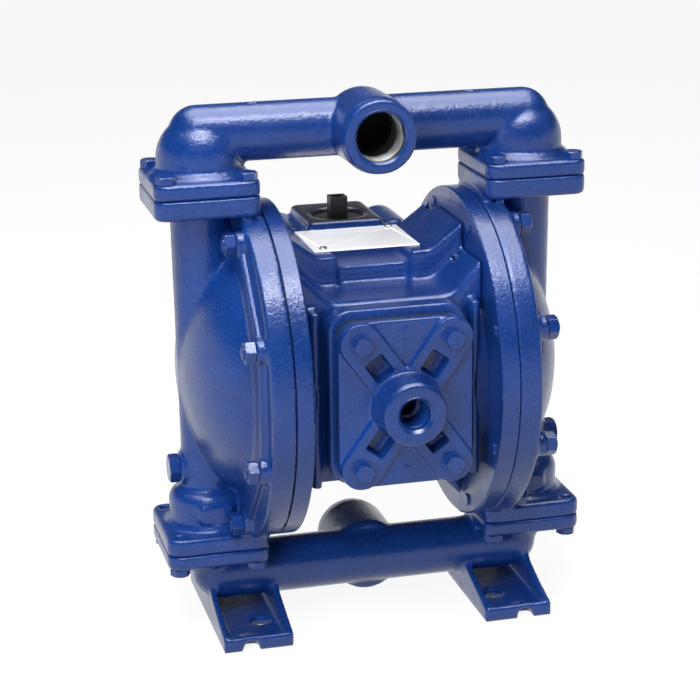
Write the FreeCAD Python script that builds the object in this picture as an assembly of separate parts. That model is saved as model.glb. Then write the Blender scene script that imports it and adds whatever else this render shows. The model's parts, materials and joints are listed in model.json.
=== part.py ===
import FreeCAD, Part
import math
import os

# Air-operated double-diaphragm pump, one-inch class, in millimetres.
# X runs along the diaphragm rod, -Y is the front with the discharge port and the air inlet, +Z is up.
# The origin lies on the ground midway between the feet.

# Main layout
suction_z = 31.2
suction_rise = 25.3
ring_foot_gap = 3.5
ring_head_gap = 11.0
discharge_rise = 32.8
column_gap = 19.9

# Manifold pipes and flanges
pipe_r = 17.8
pipe_bore_r = 12.7
suction_elbow_inset = 5.5
suction_riser_r = 11.0
flange_half_x = 32.2
flange_half_y = 35.0
flange_corner_r = 8.0
flange_edge_r = 2.2
flange_parting_r = 0.9
manifold_flange_t = 9.6
chamber_top_flange_t = 12.4
chamber_foot_flange_t = 10.9
flange_bolt_inset = 7.6
flange_bolt_r = 3.2
flange_bolt_flats = 11.0
flange_head_t = 4.5
flange_bolt_clearance = 0.4
bolt_end_recess = 2.0

# Threaded ports of the manifolds
port_bore_r = 15.2
port_mouth_r = 16.6
port_thread_depth = 21.0
port_room_r = 14.7
port_reach = 45.0
port_ring_r = 22.5
port_ring_t = 4.0
port_boss_r = 23.5
port_boss_taper = 3.0
port_boss_back = 15.0
port_back_flat = 1.0
suction_boss_r = 23.5
suction_boss_back = 4.0

# Check valves
cage_outer_r = 25.5
cage_bore_r = 20.0
cage_collar_r = 28.4
cage_collar_t = 3.0
cage_rib_t = 3.0
cage_rib_gap = 1.2
cage_nose_t = 3.0
cage_roof_drop = 4.0
ball_r = 16.0
ball_lift = 10.0
ball_gap = 0.3
stop_gap = 0.5
seat_bore_r = 12.0
seat_outer_r = 21.5
seat_t = 6.0
seat_chamfer = 3.0
seal_t = 2.0
seal_bore_r = 16.0

# Liquid columns of the outer chambers
column_r = 18.5
column_foot_r = 16.2
column_bore_r = 13.0
bulb_height = 34.5
bulb_edge_r = 8.5
bulb_collar_r = 27.4
bulb_collar_t = 2.6
bulb_pad_x = 21.0
bulb_pad_z = 10.6
bulb_pad_rise = 0.9
priming_plug_rise = 12.3
priming_plug_flats = 16.0
priming_plug_head = 6.5
priming_plug_r = 6.5
priming_plug_length = 9.0
priming_boss_r = 10.5
priming_boss_reach = 18.9

# Ring flanges that clamp the diaphragms
ring_r = 105.0
ring_edge_r = 1.3
ring_lip_width = 3.1
ring_lip_t = 1.2
inner_ring_x = 57.0
ring_t = 9.5
outer_ring_t = 14.1
diaphragm_t = 2.0
ring_bolt_inset = 9.0
ring_bolt_count = 8
ring_bolt_r = 4.0
ring_bolt_clearance = 0.4
ring_lug_r = 7.5
ring_lug_rise = 6.4
ring_land_inset = 14.0
ring_land_rise = 4.4
ring_nut_flats = 13.0
ring_nut_t = 6.5
ring_bolt_end = 1.2
ring_stud_tip = 1.2
ring_stud_chamfer = 0.5
ring_stud_room_r = 7.5
ring_stud_room_depth = 5.0
clamp_width = 30.0

# Outer chamber dome
dome_set_out = 1.5
dome_inset = 24.0
dome_depth = 49.5
dome_wall = 6.5

# Inner chamber dish
dish_depth = 19.0
dish_wall = 5.0
dish_neck_t = 7.0
dish_neck_wall = 1.0
dish_floor_t = 6.0
dish_room_gap = 3.0
dish_room_wall = 2.0
dish_step_back = 2.5
dish_lip_rise = 3.5

# Diaphragm rod, plates and nuts
rod_r = 8.0
rod_stud_r = 6.0
rod_seal_r = 13.0
bushing_wall = 3.0
bushing_length = 20.0
running_gap = 0.05
plate_edge_t = 3.0
plate_hub_r = 17.0
plate_t = 6.0
rod_nut_flats = 19.0
rod_nut_t = 8.0
rod_stroke = 12.0
diaphragm_edge_gap = 0.4
diaphragm_wave = 4.0
diaphragm_wave_gap = 2.0

# Intermediate housing
front_face_y = -65.0
front_block_gap = 4.4
front_block_side = 9.8
front_block_head = 0.8
front_block_sole = 2.8
front_shoulder_inset = 5.8
front_shoulder_rise = 20.0
front_shoulder_drop = 8.0
front_valley_r = 12.0
front_edge_r = 4.0
front_rail_r = 3.2
front_rail_reach = 8.0
front_rail_gap = 2.0
deck_front_y = -27.0
deck_rear_y = 47.0
deck_step = 19.0
deck_half_x = 35.5
deck_valley_r = 6.0
deck_edge_r = 2.0
wing_rise = 15.5
wing_gap = 0.5
keel_step = 11.0
keel_t = 19.0
keel_drop = 22.0
pocket_half_x = 23.0
pocket_rear_y = 15.0
pocket_depth = 8.0
front_recess_depth = 5.0
core_rear_y = 75.0
exhaust_x_half = 24.5
exhaust_lap = 7.0
exhaust_overhang = 23.0
exhaust_rise = 5.5
exhaust_inset = 25.5
exhaust_foot_drop = 25.0
exhaust_bore_r = 16.7
exhaust_corner_r = 3.0
exhaust_mouth_r = 18.0
exhaust_depth = 26.0
rear_lobe_r = 14.0
rear_lobe_x = 35.0
rear_lobe_drop = 12.0

# Exhaust plug
plug_drop = 3.5
plug_t = 8.0
plug_post = 11.4
plug_post_rise = 11.0
plug_post_wall = 2.2
plug_post_hollow = 9.0

# Nameplate
nameplate_margin = 2.0
nameplate_y = 54.0
nameplate_gap = 0.5
nameplate_shift_x = -1.2
nameplate_t = 1.0
nameplate_screw_r = 2.6
nameplate_screw_t = 1.2
nameplate_screw_inset = 4.5
nameplate_pin_r = 1.2
nameplate_pin_length = 6.0

# Pilot valve body and its spool
gasket_t = 1.5
gasket_inset = 1.0
pilot_half_z = 54.2
pilot_corner_r = 14.0
pilot_t = 13.0
pilot_core_half_x = 28.0
pilot_core_half_z = 16.0
pilot_core_depth = 34.0
pilot_pocket_gap = 0.6
pilot_inset = 21.0
pilot_sleeve_r = 8.0
pilot_sleeve_half = 26.0
pilot_spool_r = 5.0
pilot_spool_half = 22.0
pilot_land = 8.0
pilot_neck_r = 3.4
pilot_travel = 5.0
plunger_r = 4.0
plunger_strike_gap = 0.8
plunger_end_gap = 0.3
plunger_bushing_r = 7.0
plunger_bushing_bite = 4.0
plunger_passage_r = 6.0
air_passage_r = 6.0

# Air inlet cap
cap_inset_x = 1.8
cap_inset_z = 3.2
cap_corner_r = 13.0
cap_neck_inset = 2.2
cap_neck_t = 8.0
cap_plate_t = 7.0
cap_arm_t = 3.5
cap_arm_half_width = 12.4
cap_bolt_inset_x = 13.2
cap_bolt_inset_z = 12.4
cap_bolt_r = 3.0
cap_bolt_clearance = 0.4
cap_bolt_bite = 15.0
bolt_end_room = 1.0
cap_head_flats = 10.0
cap_head_t = 4.6
cap_washer_r = 6.6
cap_washer_t = 1.2
cap_pocket_length = 14.0
cap_pocket_width = 12.4
cap_pocket_depth = 10.0
cap_pocket_reach = 28.4
cap_mark_r = 3.4
cap_mark_inset = 8.0
cap_mark_rise = 0.6
inlet_drop = 1.5
inlet_boss_r = 21.4
inlet_boss_reach = 17.5
inlet_step_r = 19.5
inlet_ring_r = 18.0
inlet_chamfer = 2.5
inlet_bore_r = 9.4
inlet_mouth_r = 11.2
inlet_depth = 22.0

# Main air valve at the rear
valve_half_x = 36.0
valve_half_z = 38.0
valve_corner_r = 7.0
valve_t = 32.0
valve_barrel_r = 21.0
valve_spool_r = 9.0
valve_spool_end_gap = 2.0
valve_spool_land = 10.0
valve_spool_neck_r = 5.5
valve_sleeve_r = 13.0
valve_travel = 8.0
valve_bolt_inset_x = 8.0
valve_bolt_inset_z = 7.0
valve_bolt_bite = 13.0
valve_bolt_r = 4.0
valve_head_flats = 13.0
valve_head_t = 5.3
end_cap_half_z = 19.0
end_cap_corner_r = 6.0
end_cap_t = 6.5
end_cap_inset = 3.0
end_screw_r = 2.0
end_screw_head_r = 3.6
end_screw_head_t = 3.0
end_screw_inset = 6.0
end_screw_bite = 9.0

# Feet of the suction manifold
foot_reach_in = 40.0
foot_reach_out = 4.1
foot_half_y = 60.0
foot_floor_t = 6.0
foot_wall_z = 9.5
foot_wall_t = 5.0
foot_rib_t = 4.2
foot_inner_rib = [(40.0, 15.0), (23.0, 20.5), (12.0, 25.5)]
foot_outer_rib = [(40.0, 14.4), (21.0, 21.2), (12.0, 27.5)]
foot_hole_inset = 24.8
foot_hole_y = 28.5
foot_hole_r = 5.5
foot_notch_inset = 13.3
foot_notch_half = 4.9
foot_notch_z = 6.8
foot_corner_r = 2.0
foot_notch_wall = 2.2
foot_notch_reach = 11.0

# Hexagons of screws and nuts
hex_end_share = 0.95
hex_chamfer_angle = 30.0

# Heights that follow from the sizes above
suction_parting_z = suction_z + suction_rise
axis_z = suction_parting_z + ring_foot_gap + ring_r
discharge_parting_z = axis_z + ring_r + ring_head_gap
discharge_z = discharge_parting_z + discharge_rise
bulb_top_z = suction_parting_z + bulb_height
priming_plug_z = bulb_top_z + priming_plug_rise
front_block_top_z = axis_z + pilot_half_z + front_block_head
front_block_foot_z = axis_z - pilot_half_z - front_block_sole
front_shoulder_edge_z = front_block_top_z - front_shoulder_drop
deck_z = front_block_top_z + deck_step
keel_z = front_block_foot_z - keel_step
exhaust_z = deck_z + exhaust_rise
exhaust_foot_z = deck_z - exhaust_foot_drop
rear_lobe_z = deck_z - rear_lobe_drop
inlet_z = axis_z - inlet_drop

# Places along Y
exhaust_front_y = deck_rear_y - exhaust_lap
exhaust_rear_y = core_rear_y + exhaust_overhang
exhaust_y = exhaust_front_y + exhaust_inset
rear_lobe_front_y = deck_rear_y
nameplate_rear_y = exhaust_front_y - nameplate_gap
pilot_y = front_face_y + pilot_inset

# Radii about the rod's axis
ring_lip_r = ring_r - ring_lip_width
ring_bolt_circle_r = ring_r - ring_bolt_inset
ring_land_r = ring_r - ring_land_inset
lip_r = ring_r - clamp_width
diaphragm_edge_r = ring_lip_r - diaphragm_edge_gap
dome_r = ring_r - dome_inset
dish_neck_r = lip_r + dish_neck_wall
dish_room_r = plunger_bushing_r - pilot_y + dish_room_wall
dish_back_r = dish_room_r + dish_wall
plate_r = dish_room_r - dish_room_gap

# Places along X, from the middle outwards
dish_back_x = inner_ring_x - dish_depth
dish_neck_x = inner_ring_x - dish_neck_t
dish_floor_x = dish_back_x + dish_floor_t
dish_step_x = inner_ring_x - dish_step_back
dish_lip_x = inner_ring_x + dish_lip_rise
core_half_x = dish_neck_x
diaphragm_x = inner_ring_x + ring_t
outer_ring_x = diaphragm_x + diaphragm_t
outer_ring_face_x = outer_ring_x + outer_ring_t
dome_centre_x = outer_ring_x + dome_set_out
column_x = outer_ring_face_x + column_gap
priming_boss_x = column_x + priming_boss_reach
foot_inner_x = column_x - foot_reach_in
foot_outer_x = column_x + foot_reach_out
foot_hole_x = column_x - foot_hole_inset
foot_notch_x = column_x - foot_notch_inset
front_block_half_x = inner_ring_x - front_block_gap
pilot_half_x = front_block_half_x - front_block_side
front_shoulder_x = pilot_half_x - front_shoulder_inset
plunger_bushing_x = dish_back_x - plunger_bushing_bite

# Sizes of the air section that follow
cap_half_x = pilot_half_x - cap_inset_x
cap_half_z = pilot_half_z - cap_inset_z
cap_bolt_x = cap_half_x - cap_bolt_inset_x
cap_bolt_z = cap_half_z - cap_bolt_inset_z
cap_mark_z = cap_half_z - cap_mark_inset
valve_bolt_x = valve_half_x - valve_bolt_inset_x
valve_bolt_z = valve_half_z - valve_bolt_inset_z
nameplate_x = 2 * (deck_half_x - nameplate_margin)
plunger_tip_x = diaphragm_x - plate_t - rod_stroke + pilot_travel - plunger_strike_gap
valve_spool_half = valve_half_x - valve_travel - valve_spool_end_gap
centre_outward = FreeCAD.Vector(1, 0, 0)
up = FreeCAD.Vector(0, 0, 1)


# Basic solids
def vec(x, y, z):
    return FreeCAD.Vector(x, y, z)


def block(x0, x1, y0, y1, z0, z1):
    return Part.makeBox(x1 - x0, y1 - y0, z1 - z0, vec(x0, y0, z0))


def bar_x(r, x0, x1, y=0.0, z=axis_z):
    return Part.makeCylinder(r, x1 - x0, vec(x0, y, z), vec(1, 0, 0))


def bar_y(r, y0, y1, x=0.0, z=axis_z):
    return Part.makeCylinder(r, y1 - y0, vec(x, y0, z), vec(0, 1, 0))


def bar_z(r, z0, z1, x=0.0, y=0.0):
    return Part.makeCylinder(r, z1 - z0, vec(x, y, z0), vec(0, 0, 1))


def cone_y(r0, r1, y0, y1, x=0.0, z=axis_z):
    return Part.makeCone(r0, r1, y1 - y0, vec(x, y0, z), vec(0, 1, 0))


def cone_z(r0, r1, z0, z1, x=0.0, y=0.0):
    return Part.makeCone(r0, r1, z1 - z0, vec(x, y, z0), vec(0, 0, 1))


def ball(r, x, y, z):
    return Part.makeSphere(r, vec(x, y, z))


def half_ball(r, x, y, z):
    return Part.makeSphere(r, vec(x, y, z), up, 0, 90, 360)


def merge(*shapes):
    return shapes[0].fuse(list(shapes[1:])).removeSplitter()


def mirror_x(shape):
    return shape.mirror(vec(0, 0, 0), vec(1, 0, 0))


def both_sides(shape):
    return [shape, mirror_x(shape)]


def group(shapes):
    return Part.makeCompound(shapes)


def prism(points, direction):
    wire = Part.makePolygon(points + [points[0]])
    return Part.Face(wire).extrude(direction)


def hexagon_bar(flats, start, direction):
    side = vec(0, 0, 1).cross(direction)
    if side.Length < 0.001:
        side = vec(1, 0, 0)
    side.normalize()
    other = FreeCAD.Vector(direction).cross(side)
    other.normalize()
    corner_r = flats / math.sqrt(3.0)
    points = []
    for k in range(6):
        angle = math.radians(60.0 * k)
        points.append(start + side * (corner_r * math.cos(angle)) + other * (corner_r * math.sin(angle)))
    return prism(points, direction)


def hexagon_head(flats, seat, direction):
    """Hexagon standing on its seat, with its free end chamfered as on bolt heads and nuts."""
    slope = 1.0 / math.tan(math.radians(hex_chamfer_angle))
    end_r = hex_end_share * flats / 2
    cone = Part.makeCone(end_r + slope * direction.Length, end_r, direction.Length, seat, direction)
    return hexagon_bar(flats, seat, direction).common(cone)


def round_edges(shape, r, keep):
    edges = [edge for edge in shape.Edges if keep(edge)]
    return shape.makeFillet(r, edges)


def rounded_plate(half_u, half_v, corner_r, to_point, direction):
    """Rounded rectangle, 2 half_u by 2 half_v, pushed along direction."""
    low_u, high_u = -half_u + corner_r, half_u - corner_r
    low_v, high_v = -half_v + corner_r, half_v - corner_r
    d = corner_r * math.sqrt(0.5)
    sides = [
        ((low_u, -half_v), (high_u, -half_v), (high_u + d, low_v - d), (half_u, low_v)),
        ((half_u, low_v), (half_u, high_v), (high_u + d, high_v + d), (high_u, half_v)),
        ((high_u, half_v), (low_u, half_v), (low_u - d, high_v + d), (-half_u, high_v)),
        ((-half_u, high_v), (-half_u, low_v), (low_u - d, low_v - d), (low_u, -half_v)),
    ]
    edges = []
    for start, end, middle, arc_end in sides:
        edges.append(Part.LineSegment(to_point(*start), to_point(*end)).toShape())
        edges.append(Part.Arc(to_point(*end), to_point(*middle), to_point(*arc_end)).toShape())
    return Part.Face(Part.Wire(edges)).extrude(direction)


def plate_xy(half_x, half_y, corner_r, x, z0, z1):
    return rounded_plate(half_x, half_y, corner_r, lambda u, v: vec(x + u, v, z0), vec(0, 0, z1 - z0))


def plate_xz(half_x, half_z, corner_r, y0, y1, z=axis_z):
    return rounded_plate(half_x, half_z, corner_r, lambda u, v: vec(u, y0, z + v), vec(0, y1 - y0, 0))


def plate_yz(half_y, half_z, corner_r, x0, x1, y, z=axis_z):
    return rounded_plate(half_y, half_z, corner_r, lambda u, v: vec(x0, y + u, z + v), vec(x1 - x0, 0, 0))


def turned_x(profile):
    """Solid of revolution about the rod's axis, from (x, radius) points."""
    points = [vec(x, 0, axis_z + r) for x, r in profile]
    face = Part.Face(Part.makePolygon(points + [points[0]]))
    return face.revolve(vec(0, 0, axis_z), vec(1, 0, 0), 360)


# Places used by several pieces
def flange_bolt_spots(x):
    du = flange_half_x - flange_bolt_inset
    dv = flange_half_y - flange_bolt_inset
    return [(x + sx * du, sy * dv) for sx in (-1, 1) for sy in (-1, 1)]


def ring_bolt_spots():
    spots = []
    for k in range(ring_bolt_count):
        angle = math.radians(360.0 * (k + 0.5) / ring_bolt_count)
        spots.append((ring_bolt_circle_r * math.cos(angle), axis_z + ring_bolt_circle_r * math.sin(angle)))
    return spots


def cap_bolt_spots():
    return [(sx * cap_bolt_x, axis_z + sz * cap_bolt_z) for sx in (-1, 1) for sz in (-1, 1)]


def valve_bolt_spots():
    return [(sx * valve_bolt_x, axis_z + sz * valve_bolt_z) for sx in (-1, 1) for sz in (-1, 1)]


def ball_rest_z(seat_top_z):
    edge_z = seat_top_z - seat_chamfer
    return edge_z + math.sqrt(ball_r ** 2 - seat_bore_r ** 2) + ball_gap


def flange_with_edge(x, z0, z1, edge_z):
    """Square flange, well rounded at edge_z and slightly rounded at its parting face."""
    plate = plate_xy(flange_half_x, flange_half_y, flange_corner_r, x, z0, z1)
    plate = round_edges(plate, flange_edge_r, lambda e: abs(e.BoundBox.ZMin - edge_z) < 0.01
                        and e.BoundBox.ZLength < 0.01)
    parting_z = z0 + z1 - edge_z
    return round_edges(plate, flange_parting_r, lambda e: abs(e.BoundBox.ZMin - parting_z) < 0.01
                       and e.BoundBox.ZLength < 0.01)


# Check valve cage: a round room above the seat with four guide ribs, whose noses stop the ball
def rib_shoulder_z(seat_top_z):
    """Height where a rib turns inwards at 45 degrees, so that its nose clears the lifted ball."""
    lifted_z = ball_rest_z(seat_top_z) + ball_lift
    return lifted_z + (ball_r + stop_gap) * math.sqrt(2.0) - (ball_r + cage_rib_gap)


def cage_room(x, seat_top_z, room):
    reach = ball_r + cage_rib_gap
    shoulder_z = rib_shoulder_z(seat_top_z)
    nose_z = shoulder_z + reach - column_bore_r
    outline = [(cage_bore_r + 2, seat_top_z), (reach, seat_top_z), (reach, shoulder_z)]
    outline += [(column_bore_r, nose_z), (column_bore_r, nose_z + cage_nose_t)]
    outline.append((cage_bore_r + 2, nose_z + cage_nose_t))
    for k in range(4):
        rib = prism([vec(r, -cage_rib_t / 2, z) for r, z in outline], vec(0, cage_rib_t, 0))
        rib.rotate(vec(0, 0, 0), up, 45 + 90 * k)
        rib.translate(vec(x, 0, 0))
        room = room.cut(rib)
    return room


# Manifolds
def port_boss(z, facing, outer_r, back_depth):
    """Boss along Y with a raised ring at its mouth and a rounded back; facing is -1 for the front."""
    ring_y = port_reach - port_ring_t
    taper_y = ring_y - port_boss_taper
    boss = merge(
        bar_y(outer_r, -back_depth, taper_y, z=z),
        cone_y(outer_r, port_ring_r, taper_y, ring_y, z=z),
        bar_y(port_ring_r, ring_y, port_reach, z=z),
    )
    boss = round_edges(boss, 1.2, lambda e: abs(e.BoundBox.YMin - port_reach) < 0.01)
    boss = round_edges(boss, back_depth - port_back_flat, lambda e: e.BoundBox.YMax < 0)
    if facing < 0:
        boss = boss.mirror(vec(0, 0, 0), vec(0, 1, 0))
    return boss


def port_bore(z, facing):
    chamfer = port_mouth_r - port_bore_r
    bore = merge(
        bar_y(port_bore_r, port_reach - port_thread_depth, port_reach, z=z),
        cone_y(port_bore_r, port_mouth_r, port_reach - chamfer, port_reach, z=z),
        bar_y(port_room_r, 0, port_reach - port_thread_depth, z=z),
    )
    if facing < 0:
        bore = bore.mirror(vec(0, 0, 0), vec(0, 1, 0))
    return bore


def discharge_manifold():
    flange_top_z = discharge_parting_z + manifold_flange_t
    cage_z = discharge_z + pipe_r - cage_outer_r
    elbow = merge(
        bar_x(pipe_r, 0, column_x, z=discharge_z),
        flange_with_edge(column_x, discharge_parting_z, flange_top_z, flange_top_z),
        bar_z(cage_collar_r, flange_top_z, flange_top_z + cage_collar_t, column_x),
        bar_z(cage_outer_r, flange_top_z, cage_z, column_x),
        half_ball(cage_outer_r, column_x, 0, cage_z),
    )
    roof = merge(bar_z(cage_bore_r, discharge_parting_z, cage_z, column_x),
                 half_ball(cage_bore_r, column_x, 0, cage_z))
    cuts = [cage_room(column_x, discharge_parting_z, roof), bar_x(pipe_bore_r, 0, column_x, z=discharge_z)]
    for bx, by in flange_bolt_spots(column_x):
        cuts.append(bar_z(flange_bolt_r + flange_bolt_clearance, discharge_parting_z, flange_top_z, bx, by))
    elbow = elbow.cut(cuts)
    boss = port_boss(discharge_z, -1, port_boss_r, port_boss_back)
    boss = boss.cut(bar_x(pipe_bore_r, -2 * port_boss_r, 2 * port_boss_r, z=discharge_z))
    return merge(boss, *both_sides(elbow)).cut(port_bore(discharge_z, -1))


def foot():
    floor = plate_xy((foot_outer_x - foot_inner_x) / 2, foot_half_y, foot_corner_r,
                     (foot_outer_x + foot_inner_x) / 2, 0, foot_wall_z)
    tray = block(foot_inner_x + foot_rib_t, foot_outer_x - foot_rib_t, -foot_half_y + foot_wall_t,
                 foot_half_y - foot_wall_t, foot_floor_t, foot_wall_z)
    shape = floor.cut(tray)
    ribs = []
    for x0, knees in ((foot_inner_x, foot_inner_rib), (foot_outer_x - foot_rib_t, foot_outer_rib)):
        half = [(foot_half_y - foot_corner_r, foot_wall_z)] + knees
        outline = [vec(x0, y, z) for y, z in half]
        outline += [vec(x0, -y, z) for y, z in reversed(half)]
        outline += [vec(x0, foot_corner_r - foot_half_y, 0), vec(x0, foot_half_y - foot_corner_r, 0)]
        ribs.append(prism(outline, vec(foot_rib_t, 0, 0)))
    arch_z = foot_notch_z - foot_notch_half
    for sy in (-1, 1):
        ends = sorted((sy * (foot_half_y - 1), sy * (foot_half_y - foot_notch_reach)))
        hump = bar_y(foot_notch_half + foot_notch_wall, ends[0], ends[1], foot_notch_x, arch_z)
        ribs.append(hump.cut(block(foot_inner_x, foot_outer_x, ends[0] - 1, ends[1] + 1, -foot_outer_x, 0)))
    shape = merge(shape, *ribs)
    cuts = []
    for sy in (-1, 1):
        cuts.append(bar_z(foot_hole_r, 0, foot_floor_t, foot_hole_x, sy * foot_hole_y))
        y_out = sy * foot_half_y
        y_in = sy * (foot_half_y - 2 * foot_wall_t)
        cuts.append(block(foot_notch_x - foot_notch_half, foot_notch_x + foot_notch_half,
                          min(y_out, y_in), max(y_out, y_in), 0, arch_z))
        cuts.append(bar_y(foot_notch_half, min(y_out, y_in), max(y_out, y_in), foot_notch_x, arch_z))
    return shape.cut(cuts)


def suction_manifold():
    flange_foot_z = suction_parting_z - manifold_flange_t
    neck_r = pipe_r - suction_elbow_inset
    elbow_r = pipe_r + 2.0
    boss = port_boss(suction_z, 1, suction_boss_r, suction_boss_back)
    body = [bar_x(pipe_r, suction_elbow_inset - column_x, column_x - suction_elbow_inset, z=suction_z), boss]
    elbow_x = column_x - suction_elbow_inset
    rooms = [bar_x(pipe_bore_r, -elbow_x, elbow_x, z=suction_z), port_bore(suction_z, 1)]
    for side in (-1, 1):
        x = side * column_x
        body.append(ball(pipe_r, side * elbow_x, 0, suction_z))
        body.append(cone_z(neck_r, elbow_r, suction_z, flange_foot_z, x))
        body.append(flange_with_edge(x, flange_foot_z, suction_parting_z, flange_foot_z))
        rooms.append(ball(pipe_bore_r, side * elbow_x, 0, suction_z))
        rooms.append(bar_z(suction_riser_r, suction_z, suction_parting_z - seat_t, side * elbow_x))
        rooms.append(bar_z(seat_outer_r, suction_parting_z - seat_t - seal_t, suction_parting_z, x))
        for bx, by in flange_bolt_spots(x):
            hole_r = flange_bolt_r + flange_bolt_clearance
            rooms.append(bar_z(hole_r, flange_foot_z, suction_parting_z, bx, by))
    body += both_sides(foot())
    return merge(*body).cut(rooms)


# Chambers
def dome(r, depth):
    """Half of a flattened ball about the rod's axis, opening towards the ring."""
    centre = vec(dome_centre_x, 0, axis_z)
    rim = vec(dome_centre_x, 0, axis_z + r)
    crown = vec(dome_centre_x + depth, 0, axis_z)
    curve = Part.ArcOfEllipse(Part.Ellipse(rim, crown, centre), 0, math.pi / 2).toShape()
    face = Part.Face(Part.Wire([Part.makeLine(centre, rim), curve, Part.makeLine(crown, centre)]))
    return face.revolve(centre, vec(1, 0, 0), 360)


def ring_land():
    """Eight-sided raised land on the outer ring, with a corner under each lug."""
    grow = ring_land_r / math.cos(math.pi / ring_bolt_count) / ring_bolt_circle_r
    corners = [vec(outer_ring_face_x - 1, y * grow, axis_z + (z - axis_z) * grow)
               for y, z in ring_bolt_spots()]
    return prism(corners, vec(1 + ring_land_rise, 0, 0))


def outer_chamber():
    ring = bar_x(ring_r, outer_ring_x, outer_ring_face_x)
    ring = round_edges(ring, ring_edge_r, lambda e: e.BoundBox.XLength < 0.01
                       and e.BoundBox.XMin > outer_ring_x + 1)
    bulb_foot_z = suction_parting_z + chamber_foot_flange_t
    bulb = bar_z(cage_outer_r, suction_parting_z + 1, bulb_top_z, column_x)
    bulb = round_edges(bulb, bulb_edge_r, lambda e: e.BoundBox.ZMin > bulb_top_z - 0.01)
    collar = bar_z(bulb_collar_r, bulb_foot_z, bulb_foot_z + bulb_collar_t, column_x)
    pad_z = (bulb_foot_z + bulb_top_z) / 2 - 1
    pad = block(column_x - bulb_pad_x / 2, column_x + bulb_pad_x / 2, -cage_outer_r - bulb_pad_rise, 0,
                pad_z - bulb_pad_z / 2, pad_z + bulb_pad_z / 2)
    top_flange = flange_with_edge(column_x, discharge_parting_z - chamber_top_flange_t, discharge_parting_z,
                                  discharge_parting_z - chamber_top_flange_t)
    foot_flange = flange_with_edge(column_x, suction_parting_z, bulb_foot_z, bulb_foot_z)
    boss_x = priming_boss_x
    boss = bar_x(priming_boss_r, column_x, boss_x, z=priming_plug_z)
    body = [ring, ring_land(), dome(dome_r, dome_depth), bulb, collar, pad, top_flange, foot_flange, boss,
            cone_z(column_foot_r, column_r, suction_parting_z + 1, discharge_parting_z - 1, column_x)]
    holes = [bar_x(priming_plug_r, boss_x - priming_plug_length, boss_x, z=priming_plug_z)]
    for y, z in ring_bolt_spots():
        lug_x = outer_ring_face_x + ring_lug_rise
        body.append(bar_x(ring_lug_r, outer_ring_face_x - 1, lug_x, y, z))
        holes.append(bar_x(ring_bolt_r + ring_bolt_clearance, outer_ring_x, lug_x, y, z))
    roof_z = bulb_top_z - cage_roof_drop
    eaves_z = roof_z - cage_bore_r + column_bore_r
    roof = merge(bar_z(cage_bore_r, suction_parting_z, eaves_z, column_x),
                 cone_z(cage_bore_r, column_bore_r, eaves_z, roof_z, column_x))
    rooms = [
        bar_x(lip_r - 0.5, outer_ring_x, dome_centre_x + 0.5),
        dome(dome_r - dome_wall, dome_depth - dome_wall),
        bar_z(column_bore_r, roof_z, discharge_parting_z, column_x),
        cage_room(column_x, suction_parting_z, roof),
        bar_z(seat_outer_r, discharge_parting_z - seat_t - seal_t, discharge_parting_z, column_x),
    ]
    for z0, z1 in ((discharge_parting_z - chamber_top_flange_t, discharge_parting_z),
                   (suction_parting_z, bulb_foot_z)):
        for bx, by in flange_bolt_spots(column_x):
            holes.append(bar_z(flange_bolt_r, z0, z1, bx, by))
    return merge(*body).cut(rooms + holes)


def dish_envelope():
    """Outside of the inner chamber's dish: a spigot nested in the housing, and a disc behind the ring."""
    return turned_x([(dish_back_x, 0), (dish_back_x, dish_back_r), (dish_neck_x, dish_back_r),
                     (dish_neck_x, dish_neck_r), (inner_ring_x, dish_neck_r), (inner_ring_x, 0)])


def inner_chamber():
    ring = bar_x(ring_r, inner_ring_x, diaphragm_x)
    ring = round_edges(ring, ring_edge_r, lambda e: e.BoundBox.XLength < 0.01
                       and e.BoundBox.XMin < inner_ring_x + 1)
    lip = bar_x(ring_r, diaphragm_x - 1, diaphragm_x + ring_lip_t)
    lip = lip.cut(bar_x(ring_lip_r, diaphragm_x - 1, diaphragm_x + ring_lip_t))
    shape = merge(ring, lip, dish_envelope())
    room = turned_x([(dish_floor_x, 0), (dish_floor_x, dish_room_r), (dish_step_x, dish_room_r),
                     (dish_lip_x, lip_r), (diaphragm_x, lip_r), (diaphragm_x, 0)])
    cuts = [room, bar_x(rod_seal_r, dish_back_x, dish_floor_x),
            bar_x(plunger_bushing_r, dish_back_x, dish_floor_x, pilot_y)]
    for y, z in ring_bolt_spots():
        cuts.append(bar_x(ring_bolt_r, inner_ring_x, diaphragm_x, y, z))
    return shape.cut(cuts)


def ring_bolts():
    """Studs that are screwed into the inner ring and stand out of the nuts on the outer ring."""
    studs = []
    end_x = outer_ring_face_x + ring_lug_rise + ring_nut_t + ring_bolt_end
    for y, z in ring_bolt_spots():
        stud = bar_x(ring_bolt_r, inner_ring_x - ring_stud_tip, end_x, y, z)
        ends = [edge for edge in stud.Edges if edge.BoundBox.XLength < 0.01]
        studs.append(stud.makeChamfer(ring_stud_chamfer, ends))
    return group(studs)


def ring_nuts():
    nuts = []
    start_x = outer_ring_face_x + ring_lug_rise
    for y, z in ring_bolt_spots():
        nut = hexagon_head(ring_nut_flats, vec(start_x, y, z), vec(ring_nut_t, 0, 0))
        nuts.append(nut.cut(bar_x(ring_bolt_r, start_x, start_x + ring_nut_t, y, z)))
    return group(nuts)


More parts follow.
